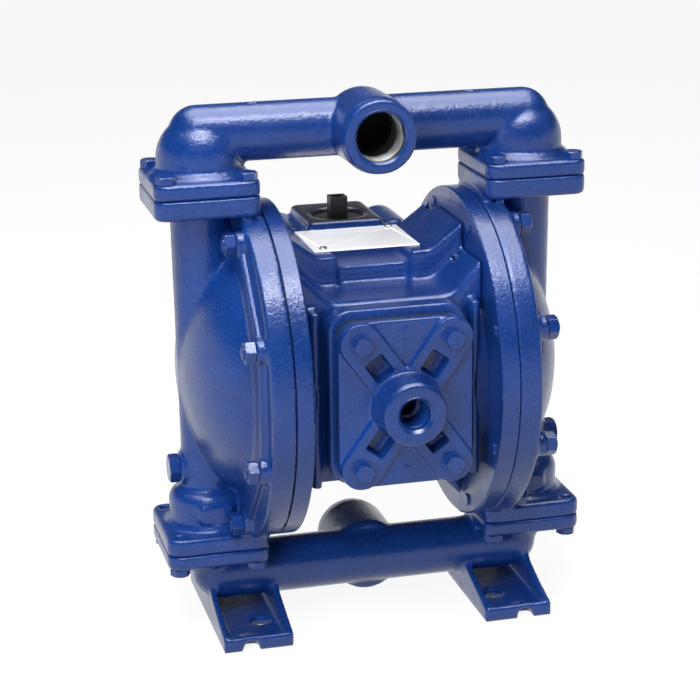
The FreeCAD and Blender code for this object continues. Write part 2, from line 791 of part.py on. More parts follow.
# Diaphragms, rod and plates
def diaphragm():
    """Flat at the rod and at the clamped rim, with one shallow wave between the plates and the lip."""
    x0 = diaphragm_x
    x1 = diaphragm_x + diaphragm_t
    start_r = plate_r + diaphragm_wave_gap
    end_r = lip_r - diaphragm_wave_gap
    middle_r = (start_r + end_r) / 2

    def at(x, r):
        return vec(x, 0, axis_z + r)

    edges = [
        Part.makeLine(at(x0, rod_stud_r), at(x0, start_r)),
        Part.Arc(at(x0, start_r), at(x0 + diaphragm_wave, middle_r), at(x0, end_r)).toShape(),
        Part.makeLine(at(x0, end_r), at(x0, diaphragm_edge_r)),
        Part.makeLine(at(x0, diaphragm_edge_r), at(x1, diaphragm_edge_r)),
        Part.makeLine(at(x1, diaphragm_edge_r), at(x1, end_r)),
        Part.Arc(at(x1, end_r), at(x1 + diaphragm_wave, middle_r), at(x1, start_r)).toShape(),
        Part.makeLine(at(x1, start_r), at(x1, rod_stud_r)),
        Part.makeLine(at(x1, rod_stud_r), at(x0, rod_stud_r)),
    ]
    disc = Part.Face(Part.Wire(edges)).revolve(vec(0, 0, axis_z), centre_outward, 360)
    holes = [bar_x(ring_bolt_r + ring_bolt_clearance, x0, x1, y, z) for y, z in ring_bolt_spots()]
    return disc.cut(holes)


def diaphragm_plate(face_x, facing):
    """Clamp plate with a thick hub; facing is 1 on the liquid side and -1 on the air side."""
    profile = [(0.0, rod_stud_r), (plate_t, rod_stud_r), (plate_t, plate_hub_r), (plate_edge_t, plate_r - 1),
               (plate_edge_t - 1, plate_r), (0.0, plate_r)]
    return turned_x([(face_x + facing * x, r) for x, r in profile])


def diaphragm_rod():
    shoulder_x = diaphragm_x - plate_t
    end_x = diaphragm_x + diaphragm_t + plate_t + rod_nut_t + 1.5
    return merge(bar_x(rod_r, -shoulder_x, shoulder_x), bar_x(rod_stud_r, -end_x, end_x))


def rod_nut():
    start_x = diaphragm_x + diaphragm_t + plate_t
    nut = hexagon_head(rod_nut_flats, vec(start_x, 0, axis_z), vec(rod_nut_t, 0, 0))
    return nut.cut(bar_x(rod_stud_r, start_x, start_x + rod_nut_t))


def rod_bushing():
    x0 = dish_back_x - bushing_length
    outer = bar_x(rod_r + bushing_wall, x0, dish_back_x)
    return outer.cut(bar_x(rod_r + running_gap, x0, dish_back_x))


def rod_seal():
    outer = bar_x(rod_seal_r, dish_back_x, dish_floor_x)
    return outer.cut(bar_x(rod_r + running_gap, dish_back_x, dish_floor_x))


# Check valve pieces
def check_seat(x, top_z):
    ring = bar_z(seat_outer_r, top_z - seat_t, top_z, x)
    mouth = cone_z(seat_bore_r, seat_bore_r + seat_chamfer, top_z - seat_chamfer, top_z, x)
    return ring.cut([bar_z(seat_bore_r, top_z - seat_t, top_z, x), mouth])


def check_seal(x, top_z):
    z1 = top_z - seat_t
    ring = bar_z(seat_outer_r, z1 - seal_t, z1, x)
    return ring.cut(bar_z(seal_bore_r, z1 - seal_t, z1, x))


def check_ball(x, seat_top_z):
    return ball(ball_r, x, 0, ball_rest_z(seat_top_z))


# Intermediate housing
def front_outline(points, y0, y1):
    """Prism along Y from the right half of an outline in X and Z, mirrored to the left."""
    left = [(-x, z) for x, z in reversed(points)]
    return prism([vec(x, y0, z) for x, z in points + left], vec(0, y1 - y0, 0))


def round_along_y(shape, r, x, z):
    """Round the pair of edges that run along Y at plus and minus x."""
    return round_edges(shape, r, lambda e: e.BoundBox.YLength > 1
                       and abs(abs(e.BoundBox.Center.x) - x) < 0.01 and abs(e.BoundBox.Center.z - z) < 0.01)


def deck():
    """Top of the housing, whose wings climb to the ring flanges and are filled underneath."""
    wing_x = inner_ring_x - wing_gap
    points = [(deck_half_x, deck_z), (wing_x, deck_z + wing_rise), (wing_x, front_shoulder_edge_z),
              (core_half_x, front_shoulder_edge_z - wing_x + core_half_x)]
    shape = front_outline(points, deck_front_y, deck_rear_y)
    shape = round_along_y(shape, deck_valley_r, deck_half_x, deck_z)
    return round_edges(shape, deck_edge_r, lambda e: e.BoundBox.YLength < 0.01
                       and e.BoundBox.ZMin > deck_z - 0.01)


def keel():
    """Underside of the housing, whose wings drop to the ring flanges."""
    wing_x = inner_ring_x - wing_gap
    points = [(wing_x, keel_z + keel_t - keel_drop), (wing_x, keel_z - keel_drop), (deck_half_x, keel_z)]
    points = [(core_half_x, keel_z + keel_t)] + points
    return front_outline(points, deck_front_y, deck_rear_y)


def front_block():
    """Front of the housing: a block with sloping shoulders, and a rail down each side of the pilot valve."""
    wing_x = inner_ring_x - wing_gap
    points = [(front_shoulder_x, front_block_top_z), (wing_x, front_block_top_z + front_shoulder_rise),
              (wing_x, front_shoulder_edge_z),
              (front_block_half_x, front_shoulder_edge_z - wing_x + front_block_half_x),
              (front_block_half_x, front_block_foot_z)]
    shape = front_outline(points, front_face_y, deck_front_y)
    shape = round_along_y(shape, front_valley_r, front_shoulder_x, front_block_top_z)
    shape = round_edges(shape, front_edge_r, lambda e: e.BoundBox.YMax < front_face_y + 0.01
                        and e.BoundBox.ZMin > front_block_top_z - 0.01)
    rails = []
    rail_y = front_face_y - front_rail_reach
    top_z = front_block_top_z - front_rail_gap
    for sx in (-1, 1):
        x = sx * (front_block_half_x - front_rail_r)
        rails.append(block(x - front_rail_r, x + front_rail_r, rail_y, front_face_y,
                           front_block_foot_z, top_z))
        rails.append(bar_z(front_rail_r, front_block_foot_z, top_z, x, rail_y))
    return merge(shape, *rails)


def exhaust_pad():
    pad = block(-exhaust_x_half, exhaust_x_half, exhaust_front_y, exhaust_rear_y, exhaust_foot_z, exhaust_z)
    height = exhaust_z - exhaust_foot_z
    pad = round_edges(pad, exhaust_corner_r, lambda e: e.BoundBox.ZLength > height - 0.01)
    pad = round_edges(pad, 1.2, lambda e: e.BoundBox.ZMin > exhaust_z - 0.01)
    lobes = []
    for sx in (-1, 1):
        x = sx * rear_lobe_x
        lobe = bar_y(rear_lobe_r, rear_lobe_front_y, exhaust_rear_y, x, rear_lobe_z)
        lobes.append(round_edges(lobe, 3.5, lambda e: e.BoundBox.YLength < 0.01))
    web = block(-rear_lobe_x, rear_lobe_x, rear_lobe_front_y, exhaust_rear_y - 2, exhaust_foot_z,
                rear_lobe_z + 4)
    return merge(pad, web, *lobes)


def housing_holes():
    pilot_rear_y = front_face_y - gasket_t + pilot_core_depth
    cuts = [
        block(-pocket_half_x, pocket_half_x, deck_front_y, pocket_rear_y, deck_z - pocket_depth, deck_z),
        block(-pocket_half_x, pocket_half_x, deck_front_y, deck_front_y + front_recess_depth,
              front_block_top_z, deck_z),
        bar_z(exhaust_bore_r, exhaust_z - exhaust_depth, exhaust_z, 0, exhaust_y),
        cone_z(exhaust_bore_r, exhaust_mouth_r, exhaust_z - exhaust_mouth_r + exhaust_bore_r, exhaust_z, 0,
               exhaust_y),
        bar_x(rod_r + bushing_wall, -dish_back_x, dish_back_x),
        block(-pilot_core_half_x - pilot_pocket_gap, pilot_core_half_x + pilot_pocket_gap, front_face_y,
              pilot_rear_y + pilot_pocket_gap, axis_z - pilot_core_half_z - pilot_pocket_gap,
              axis_z + pilot_core_half_z + pilot_pocket_gap),
        bar_x(plunger_passage_r, -dish_back_x, dish_back_x, pilot_y),
    ]
    cuts += both_sides(dish_envelope())
    cuts += both_sides(bar_x(plunger_bushing_r, plunger_bushing_x, dish_back_x, pilot_y))
    for y, z in ring_bolt_spots():
        cuts += both_sides(bar_x(ring_stud_room_r, inner_ring_x - ring_stud_room_depth, inner_ring_x, y, z))
    for x, z in cap_bolt_spots():
        cuts.append(bar_y(cap_bolt_r, front_face_y, front_face_y + cap_bolt_bite + bolt_end_room, x, z))
    for x, z in valve_bolt_spots():
        cuts.append(bar_y(valve_bolt_r, core_rear_y - valve_bolt_bite - bolt_end_room, core_rear_y, x, z))
    for x, y in nameplate_screw_spots():
        cuts.append(bar_z(nameplate_pin_r, deck_z - nameplate_pin_length, deck_z, x, y))
    return cuts


def intermediate_housing():
    core = block(-core_half_x, core_half_x, deck_front_y, core_rear_y, front_block_foot_z, front_block_top_z)
    return merge(core, front_block(), deck(), keel(), exhaust_pad()).cut(housing_holes())


# Exhaust plug and nameplate
def exhaust_plug():
    top_z = exhaust_z - plug_drop
    half = plug_post / 2
    post = block(-half, half, exhaust_y - half, exhaust_y + half, top_z - 1, exhaust_z + plug_post_rise)
    post = round_edges(post, 1.0, lambda e: e.BoundBox.ZLength > plug_post_rise)
    inner = half - plug_post_wall
    hollow = block(-inner, inner, exhaust_y - inner, exhaust_y + inner,
                   exhaust_z + plug_post_rise - plug_post_hollow, exhaust_z + plug_post_rise)
    return merge(bar_z(exhaust_bore_r, top_z - plug_t, top_z, 0, exhaust_y), post).cut(hollow)


def nameplate_screw_spots():
    front_y = nameplate_rear_y - nameplate_y
    dx = nameplate_x / 2 - nameplate_screw_inset - 2
    return [(nameplate_shift_x + dx, nameplate_rear_y - nameplate_screw_inset),
            (nameplate_shift_x - dx, front_y + nameplate_screw_inset)]


def nameplate():
    x0 = nameplate_shift_x - nameplate_x / 2
    plate = block(x0, x0 + nameplate_x, nameplate_rear_y - nameplate_y, nameplate_rear_y, deck_z,
                  deck_z + nameplate_t)
    return plate.cut([bar_z(nameplate_pin_r, deck_z, deck_z + nameplate_t, x, y)
                      for x, y in nameplate_screw_spots()])


def nameplate_screws():
    screws = []
    top_z = deck_z + nameplate_t
    for x, y in nameplate_screw_spots():
        head = bar_z(nameplate_screw_r, top_z, top_z + nameplate_screw_t, x, y)
        head = round_edges(head, 0.8, lambda e: e.BoundBox.ZMin > top_z + nameplate_screw_t - 0.01)
        screws.append(merge(head, bar_z(nameplate_pin_r, deck_z - nameplate_pin_length, top_z, x, y)))
    return group(screws)


# Pilot valve
def pilot_plate_y():
    rear_y = front_face_y - gasket_t
    return rear_y - pilot_t, rear_y


def pilot_valve_body():
    y0, y1 = pilot_plate_y()
    plate = plate_xz(pilot_half_x, pilot_half_z, pilot_corner_r, y0, y1)
    plate = round_edges(plate, 1.5, lambda e: e.BoundBox.YLength < 0.01 and e.BoundBox.YMin < y0 + 0.01)
    core = block(-pilot_core_half_x, pilot_core_half_x, y1, y1 + pilot_core_depth,
                 axis_z - pilot_core_half_z, axis_z + pilot_core_half_z)
    cuts = [bar_x(pilot_sleeve_r, -pilot_core_half_x, pilot_core_half_x, pilot_y),
            bar_y(air_passage_r, y0, pilot_y, z=inlet_z)]
    for x, z in cap_bolt_spots():
        cuts.append(bar_y(cap_bolt_r + cap_bolt_clearance, y0, y1, x, z))
    return merge(plate, core).cut(cuts)


def pilot_body_gasket():
    y0 = front_face_y - gasket_t
    sheet = plate_xz(pilot_half_x - gasket_inset, pilot_half_z - gasket_inset,
                     pilot_corner_r - gasket_inset, y0, front_face_y)
    window = block(-pilot_core_half_x, pilot_core_half_x, y0, front_face_y, axis_z - pilot_core_half_z,
                   axis_z + pilot_core_half_z)
    cuts = [window]
    for x, z in cap_bolt_spots():
        cuts.append(bar_y(cap_bolt_r + cap_bolt_clearance, y0, front_face_y, x, z))
    return sheet.cut(cuts)


def pilot_valve_sleeve():
    outer = bar_x(pilot_sleeve_r, -pilot_sleeve_half, pilot_sleeve_half, pilot_y)
    port = bar_y(air_passage_r / 2, pilot_y - pilot_sleeve_r, pilot_y + pilot_sleeve_r)
    bore = bar_x(pilot_spool_r + running_gap, -pilot_sleeve_half, pilot_sleeve_half, pilot_y)
    return outer.cut([bore, port])


def spool(r, half, land, neck_r, y):
    """Valve spool: a thin stem with a land at each end and one in the middle."""
    shape = bar_x(neck_r, -half, half, y)
    for x0 in (-half, -land / 2, half - land):
        shape = merge(shape, bar_x(r, x0, x0 + land, y))
    return shape


def plunger():
    start_x = pilot_spool_half + plunger_end_gap
    rod = bar_x(plunger_r, start_x, plunger_tip_x, pilot_y)
    return round_edges(rod, 1.0, lambda e: e.BoundBox.XMin > plunger_tip_x - 0.01)


def plunger_bushing():
    outer = bar_x(plunger_bushing_r, plunger_bushing_x, dish_floor_x, pilot_y)
    return outer.cut(bar_x(plunger_r + running_gap, plunger_bushing_x, dish_floor_x, pilot_y))


# Air inlet cap
def cap_planes():
    rear_y = pilot_plate_y()[0] - gasket_t
    neck_y = rear_y - cap_neck_t
    plate_y = neck_y - cap_plate_t
    return rear_y, neck_y, plate_y, plate_y - cap_arm_t


def cap_arm(sx, sz, rear_y, face_y):
    """Raised arm from the centre boss to one screw, with a round end about the screw."""
    length = math.hypot(cap_bolt_x, cap_bolt_z)
    across = vec(-sz * cap_bolt_z, 0, sx * cap_bolt_x) * (cap_arm_half_width / length)
    centre = vec(0, rear_y, axis_z)
    tip = vec(sx * cap_bolt_x, rear_y, axis_z + sz * cap_bolt_z)
    corners = [centre + across, tip + across, tip - across, centre - across]
    arm = prism(corners, vec(0, face_y - rear_y, 0))
    end = bar_y(cap_arm_half_width, face_y, rear_y, tip.x, tip.z)
    return merge(arm, end)


def cap_pocket_cut(sx, sz, face_y):
    pocket = block(cap_pocket_reach - cap_pocket_length / 2, cap_pocket_reach + cap_pocket_length / 2,
                   face_y, face_y + cap_pocket_depth, -cap_pocket_width / 2, cap_pocket_width / 2)
    pocket.rotate(vec(0, 0, 0), vec(0, 1, 0), -math.degrees(math.atan2(sz * cap_bolt_z, sx * cap_bolt_x)))
    pocket.translate(vec(0, 0, axis_z))
    return pocket


def air_inlet_cap():
    rear_y, neck_y, plate_y, arm_y = cap_planes()
    neck = plate_xz(cap_half_x - cap_neck_inset, cap_half_z - cap_neck_inset, cap_corner_r - cap_neck_inset,
                    neck_y, rear_y)
    plate = plate_xz(cap_half_x, cap_half_z, cap_corner_r, plate_y, neck_y)
    boss_y = arm_y - inlet_boss_reach
    step_y = boss_y + inlet_chamfer
    body = [neck, plate,
            cone_y(inlet_ring_r, inlet_step_r, boss_y, step_y, z=inlet_z),
            cone_y(inlet_step_r, inlet_boss_r, step_y, arm_y, z=inlet_z),
            bar_y(inlet_boss_r, arm_y, plate_y, z=inlet_z)]
    for sz in (-1, 1):
        body.append(bar_y(cap_mark_r, plate_y - cap_mark_rise, plate_y, 0, axis_z + sz * cap_mark_z))
    cuts = [bar_y(inlet_bore_r, boss_y, boss_y + inlet_depth, z=inlet_z),
            bar_y(air_passage_r, boss_y, rear_y, z=inlet_z),
            cone_y(inlet_mouth_r, inlet_bore_r, boss_y, boss_y + inlet_mouth_r - inlet_bore_r, z=inlet_z)]
    for sx in (-1, 1):
        for sz in (-1, 1):
            body.append(cap_arm(sx, sz, neck_y, arm_y))
            cuts.append(cap_pocket_cut(sx, sz, arm_y))
    for x, z in cap_bolt_spots():
        cuts.append(bar_y(cap_bolt_r + cap_bolt_clearance, arm_y, rear_y, x, z))
    return merge(*body).cut(cuts)


def inlet_cap_gasket():
    y1 = pilot_plate_y()[0]
    y0 = y1 - gasket_t
    sheet = plate_xz(cap_half_x - cap_neck_inset, cap_half_z - cap_neck_inset, cap_corner_r - cap_neck_inset,
                     y0, y1)
    cuts = [bar_y(air_passage_r, y0, y1, z=inlet_z)]
    for x, z in cap_bolt_spots():
        cuts.append(bar_y(cap_bolt_r + cap_bolt_clearance, y0, y1, x, z))
    return sheet.cut(cuts)


def hex_screw_y(x, z, seat_y, shank_r, length, flats, head_t, facing):
    """Screw along Y; facing is -1 when its head looks to the front."""
    head = hexagon_head(flats, vec(x, seat_y, z), vec(0, facing * head_t, 0))
    end_y = seat_y - facing * length
    return merge(head, bar_y(shank_r, min(seat_y, end_y), max(seat_y, end_y), x, z))


def inlet_cap_screws():
    arm_y = cap_planes()[3]
    length = front_face_y + cap_bolt_bite - arm_y
    screws = []
    for x, z in cap_bolt_spots():
        seat_y = arm_y - cap_washer_t
        screw = hex_screw_y(x, z, seat_y, cap_bolt_r, length, cap_head_flats, cap_head_t, -1)
        screws.append(merge(screw, bar_y(cap_washer_r, seat_y, arm_y, x, z)))
    return group(screws)


# Main air valve at the rear
def valve_y():
    y0 = core_rear_y + gasket_t
    return y0, y0 + valve_t


def valve_bore_y():
    """The barrel reaches as far to the rear as the air inlet reaches to the front."""
    return inlet_boss_reach - cap_planes()[3] - valve_barrel_r


def main_valve_body():
    y0, y1 = valve_y()
    bore_y = valve_bore_y()
    plate = plate_xz(valve_half_x, valve_half_z, valve_corner_r, y0, y0 + valve_t / 2)
    barrel = bar_x(valve_barrel_r, -valve_half_x, valve_half_x, bore_y)
    saddle = block(-valve_half_x, valve_half_x, y0, bore_y, axis_z - valve_barrel_r, axis_z + valve_barrel_r)
    bore = bar_x(valve_sleeve_r, -valve_half_x, valve_half_x, bore_y)
    shape = merge(plate, barrel, saddle)
    shape = shape.common(block(-valve_half_x, valve_half_x, y0, y1 + valve_t, 0, 2 * axis_z))
    cuts = [bore]
    for x, z in valve_bolt_spots():
        cuts.append(bar_y(valve_bolt_r + cap_bolt_clearance, y0, y0 + valve_t / 2, x, z))
    for sx in (-1, 1):
        for y, z in end_screw_spots():
            x0, x1 = sorted((sx * valve_half_x, sx * (valve_half_x - end_screw_bite - bolt_end_room)))
            cuts.append(bar_x(end_screw_r, x0, x1, y, z))
    return shape.cut(cuts)


def main_valve_gasket():
    sheet = plate_xz(valve_half_x - gasket_inset, valve_half_z - gasket_inset,
                     valve_corner_r - gasket_inset, core_rear_y, core_rear_y + gasket_t)
    holes = [bar_y(valve_bolt_r + cap_bolt_clearance, core_rear_y, core_rear_y + gasket_t, x, z)
             for x, z in valve_bolt_spots()]
    return sheet.cut(holes)


def main_valve_sleeve():
    y = valve_bore_y()
    outer = bar_x(valve_sleeve_r, -valve_half_x, valve_half_x, y)
    return outer.cut(bar_x(valve_spool_r + running_gap, -valve_half_x, valve_half_x, y))


def end_screw_spots():
    bore_y = valve_bore_y()
    d = end_cap_half_z - end_screw_inset
    return [(bore_y + sy * d, axis_z + sz * d) for sy in (-1, 1) for sz in (-1, 1)]


def main_valve_end_cap():
    x0 = valve_half_x
    x1 = valve_half_x + end_cap_t
    cap = plate_yz(end_cap_half_z, end_cap_half_z, end_cap_corner_r, x0, x1, valve_bore_y())
    cap = round_edges(cap, 1.2, lambda e: e.BoundBox.XLength < 0.01 and e.BoundBox.XMin > x1 - 0.01)
    return cap.cut([bar_x(end_screw_r, x0, x1, y, z) for y, z in end_screw_spots()])


def end_cap_screws():
    screws = []
    x1 = valve_half_x + end_cap_t
    for y, z in end_screw_spots():
        head = bar_x(end_screw_head_r, x1, x1 + end_screw_head_t, y, z)
        screws.append(merge(head, bar_x(end_screw_r, valve_half_x - end_screw_bite, x1, y, z)))
    return screws


def main_valve_screws():
    seat_y = core_rear_y + gasket_t + valve_t / 2
    length = valve_t / 2 + gasket_t + valve_bolt_bite
    return group([hex_screw_y(x, z, seat_y, valve_bolt_r, length, valve_head_flats, valve_head_t, 1)
                  for x, z in valve_bolt_spots()])


# Screws of the manifold flanges
def flange_screw(x, y, seat_z, tip_z):
    facing = 1 if seat_z > tip_z else -1
    head = hexagon_head(flange_bolt_flats, vec(x, y, seat_z), vec(0, 0, facing * flange_head_t))
    return merge(head, bar_z(flange_bolt_r, min(seat_z, tip_z), max(seat_z, tip_z), x, y))


def flange_screws(seat_z, tip_z):
    screws = []
    for x in (-column_x, column_x):
        for bx, by in flange_bolt_spots(x):
            screws.append(flange_screw(bx, by, seat_z, tip_z))
    return group(screws)


def discharge_flange_bolts():
    tip_z = discharge_parting_z - chamber_top_flange_t + bolt_end_recess
    return flange_screws(discharge_parting_z + manifold_flange_t, tip_z)


def suction_flange_bolts():
    tip_z = suction_parting_z + chamber_foot_flange_t - bolt_end_recess
    return flange_screws(suction_parting_z - manifold_flange_t, tip_z)


def priming_plug():
    x0 = priming_boss_x
    head = hexagon_head(priming_plug_flats, vec(x0, 0, priming_plug_z), vec(priming_plug_head, 0, 0))
    return merge(head, bar_x(priming_plug_r, x0 - priming_plug_length, x0, z=priming_plug_z))


# Nodes
def paired(name, shape):
    return {"left_" + name: mirror_x(shape), "right_" + name: shape}


def all_nodes():
    nodes = {
        "discharge_manifold": discharge_manifold(),
        "suction_manifold": suction_manifold(),
        "intermediate_housing": intermediate_housing(),
        "pilot_valve_body": pilot_valve_body(),
        "pilot_body_gasket": pilot_body_gasket(),
        "pilot_valve_sleeve": pilot_valve_sleeve(),
        "pilot_spool": spool(pilot_spool_r, pilot_spool_half, pilot_land, pilot_neck_r, pilot_y),
        "plunger_bushings": group(both_sides(plunger_bushing())),
        "air_inlet_cap": air_inlet_cap(),
        "inlet_cap_gasket": inlet_cap_gasket(),
        "inlet_cap_screws": inlet_cap_screws(),
        "exhaust_plug": exhaust_plug(),
        "nameplate": nameplate(),
        "nameplate_screws": nameplate_screws(),
        "diaphragm_rod": diaphragm_rod(),
        "rod_nuts": group(both_sides(rod_nut())),
        "rod_bushings": group(both_sides(rod_bushing())),
        "rod_seals": group(both_sides(rod_seal())),
        "main_valve_body": main_valve_body(),
        "main_valve_gasket": main_valve_gasket(),
        "main_valve_sleeve": main_valve_sleeve(),
        "main_valve_spool": spool(valve_spool_r, valve_spool_half, valve_spool_land, valve_spool_neck_r,
                                  valve_bore_y()),
        "main_valve_end_caps": group(both_sides(main_valve_end_cap())),
        "main_valve_screws": main_valve_screws(),
        "end_cap_screws": group([s for screw in end_cap_screws() for s in both_sides(screw)]),
        "priming_plugs": group(both_sides(priming_plug())),
        "discharge_flange_bolts": discharge_flange_bolts(),
        "suction_flange_bolts": suction_flange_bolts(),
    }
    seats = []
    seals = []
    for side, x in (("left", -column_x), ("right", column_x)):
        for stage, top_z in (("suction", suction_parting_z), ("discharge", discharge_parting_z)):
            seats.append(check_seat(x, top_z))
            seals.append(check_seal(x, top_z))
            nodes[side + "_" + stage + "_ball"] = check_ball(x, top_z)
    nodes["check_valve_seats"] = group(seats)
    nodes["check_valve_seals"] = group(seals)
    nodes.update(paired("outer_chamber", outer_chamber()))
    nodes.update(paired("inner_chamber", inner_chamber()))
    nodes.update(paired("ring_bolts", ring_bolts()))
    nodes.update(paired("ring_nuts", ring_nuts()))
    nodes.update(paired("diaphragm", diaphragm()))
    nodes.update(paired("inner_plate", diaphragm_plate(diaphragm_x, -1)))
    nodes.update(paired("outer_plate", diaphragm_plate(diaphragm_x + diaphragm_t, 1)))
    nodes.update(paired("plunger", plunger()))
    return nodes


def report_solids(name, shape):
    box = shape.BoundBox
    print("%-24s solids %2d valid %s volume %9.1f x %7.1f %7.1f y %7.1f %7.1f z %7.1f %7.1f"
          % (name, len(shape.Solids), shape.isValid(), shape.Volume, box.XMin, box.XMax, box.YMin, box.YMax,
             box.ZMin, box.ZMax))


def main():
    os.makedirs("parts", exist_ok=True)
    nodes = all_nodes()
    for name in sorted(nodes):
        report_solids(name, nodes[name])
        nodes[name].exportStep("parts/" + name + ".step")
    print(len(nodes), "nodes")


main()
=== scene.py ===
"""Finish of the double-diaphragm pump: softened castings, threads, enamel, fittings, studio."""

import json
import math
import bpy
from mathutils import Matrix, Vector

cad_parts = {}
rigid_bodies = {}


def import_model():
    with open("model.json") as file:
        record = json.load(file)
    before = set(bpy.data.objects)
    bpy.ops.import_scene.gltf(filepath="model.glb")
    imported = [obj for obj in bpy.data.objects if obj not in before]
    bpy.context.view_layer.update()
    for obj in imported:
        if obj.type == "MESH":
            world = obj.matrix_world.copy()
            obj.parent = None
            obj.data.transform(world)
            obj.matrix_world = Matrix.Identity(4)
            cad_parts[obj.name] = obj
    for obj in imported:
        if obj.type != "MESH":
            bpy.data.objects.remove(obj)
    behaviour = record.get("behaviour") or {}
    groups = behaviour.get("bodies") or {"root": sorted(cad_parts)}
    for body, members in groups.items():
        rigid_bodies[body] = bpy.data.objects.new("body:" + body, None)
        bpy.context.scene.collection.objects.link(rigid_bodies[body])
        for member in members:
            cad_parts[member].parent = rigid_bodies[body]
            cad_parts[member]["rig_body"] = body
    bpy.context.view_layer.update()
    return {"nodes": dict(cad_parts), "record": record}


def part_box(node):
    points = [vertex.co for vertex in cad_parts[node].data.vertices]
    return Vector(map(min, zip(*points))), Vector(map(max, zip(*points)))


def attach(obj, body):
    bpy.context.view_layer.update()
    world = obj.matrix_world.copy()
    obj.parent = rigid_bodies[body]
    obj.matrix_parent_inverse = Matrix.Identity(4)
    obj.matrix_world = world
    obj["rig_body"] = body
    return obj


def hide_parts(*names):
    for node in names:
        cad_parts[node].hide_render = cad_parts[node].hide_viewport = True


bl_info = {
    "name": "Diaphragm Pump Finish",
    "version": (1, 0, 0),
    "blender": (4, 5, 0),
    "location": "View3D > Sidebar > Pump",
    "description": "Dresses the packed double-diaphragm pump with its castings, threads and paint",
    "category": "Object",
}

import bpy
from bpy.props import FloatProperty, FloatVectorProperty, IntProperty, PointerProperty
from mathutils import Matrix, Vector

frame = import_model()
mounts = {m["name"]: m for m in frame["record"]["mounts"]}
main_body = "pump_body"
rod_z = sum(corner.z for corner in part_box("diaphragm_rod")) / 2
plug_low, plug_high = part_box("exhaust_plug")

castings = ["discharge_manifold", "suction_manifold", "left_outer_chamber", "right_outer_chamber",
            "intermediate_housing", "pilot_valve_body", "air_inlet_cap", "main_valve_body",
            "main_valve_end_caps"]
turned_castings = ["left_inner_chamber", "right_inner_chamber"]
painted_fasteners = ["inlet_cap_screws", "main_valve_screws", "discharge_flange_bolts",
                     "suction_flange_bolts", "left_ring_nuts", "right_ring_nuts", "left_ring_bolts",
                     "right_ring_bolts", "priming_plugs"]


# Settings
class PumpEnamel(bpy.types.PropertyGroup):
    colour: FloatVectorProperty(name="Enamel colour", description="Main colour of the enamel",
                                subtype="COLOR", size=3, min=0, max=1,
                                default=(0.008, 0.055, 0.285))
    deep: FloatVectorProperty(name="Deep colour", description="Colour where the enamel lies thick",
                              subtype="COLOR", size=3, min=0, max=1, default=(0.006, 0.04, 0.21))
    gloss: FloatProperty(name="Roughness", description="Mean roughness of the enamel", min=0, max=1,
                         default=0.34)
    grain: FloatProperty(name="Grain depth", subtype="DISTANCE", unit="LENGTH", default=0.00022,
                         description="Depth of the sand grain that shows through")


class PumpCasting(bpy.types.PropertyGroup):
    voxel: FloatProperty(name="Mesh size", subtype="DISTANCE", unit="LENGTH", default=0.0014,
                         description="Size of the faces that a softened casting has")
    relax: IntProperty(name="Softening", min=0, default=6,
                       description="How often the surface is relaxed")


class PumpHardware(bpy.types.PropertyGroup):
    edge: FloatProperty(name="Fastener edge", subtype="DISTANCE", unit="LENGTH", default=0.0003,
                        description="Width of the small bevel on heads and nuts")
    port_pitch: FloatProperty(name="Port pitch", subtype="DISTANCE", unit="LENGTH",
                              default=0.00221, description="Pitch of the one-inch pipe threads")
    inlet_pitch: FloatProperty(name="Inlet pitch", subtype="DISTANCE", unit="LENGTH",
                               default=0.00181, description="Pitch of the air inlet's pipe thread")


class PumpStage(bpy.types.PropertyGroup):
    azimuth: FloatProperty(name="Azimuth", subtype="ANGLE", default=math.radians(14.376),
                           description="Camera angle from the front towards the left side")
    pitch: FloatProperty(name="Pitch", description="Angle by which the camera looks down",
                         subtype="ANGLE", default=math.radians(16.847))
    roll: FloatProperty(name="Roll", description="Tilt of the camera about its own line of sight",
                        subtype="ANGLE", default=math.radians(0.702))
    distance: FloatProperty(name="Distance", description="Camera distance to the target",
                            unit="LENGTH", default=1.2838)
    lens: FloatProperty(name="Lens", description="Focal length in millimetres", default=104.63)
    target: FloatVectorProperty(name="Target", description="Point that the camera looks at", size=3,
                                subtype="TRANSLATION", default=(-0.009352, 0.0, 0.1705))
    floor_size: FloatProperty(name="Floor size", description="Side of the square floor",
                              unit="LENGTH", default=16.0)
    ambient: FloatProperty(name="Ambient", description="Strength of the even light from all round",
                           min=0, default=0.22)


# Small helpers
merge_distance = 2e-6


def select_only(obj):
    bpy.ops.object.select_all(action="DESELECT")
    obj.select_set(True)
    bpy.context.view_layer.objects.active = obj


def apply_modifiers(obj):
    select_only(obj)
    for modifier in list(obj.modifiers):
        bpy.ops.object.modifier_apply(modifier=modifier.name)


def apply_place(obj):
    select_only(obj)
    bpy.ops.object.transform_apply(location=True, rotation=True, scale=True)


def merged_copy(node, name):
    """Copy a CAD node under a new name and merge its loose triangles."""
    piece = bpy.data.objects.new(name, frame["nodes"][node].data.copy())
    bpy.context.scene.collection.objects.link(piece)
    select_only(piece)
    if piece.data.has_custom_normals:
        bpy.ops.mesh.customdata_custom_splitnormals_clear()
    bpy.ops.object.mode_set(mode="EDIT")
    bpy.ops.mesh.select_all(action="SELECT")
    bpy.ops.mesh.remove_doubles(threshold=merge_distance)
    bpy.ops.mesh.select_all(action="DESELECT")
    bpy.ops.object.mode_set(mode="OBJECT")
    return piece


def smooth_shade(piece, degrees=35):
    select_only(piece)
    bpy.ops.object.shade_smooth_by_angle(angle=math.radians(degrees))


def dress(piece, material, slot, *nodes):
    """Give a finished piece its material, its body and the CAD nodes that it stands for."""
    piece.data.materials.clear()
    piece.data.materials.append(material)
    body = frame["nodes"][nodes[0]].get("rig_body", main_body) if nodes else main_body
    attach(piece, body)
    if nodes:
        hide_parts(*nodes)
    return piece


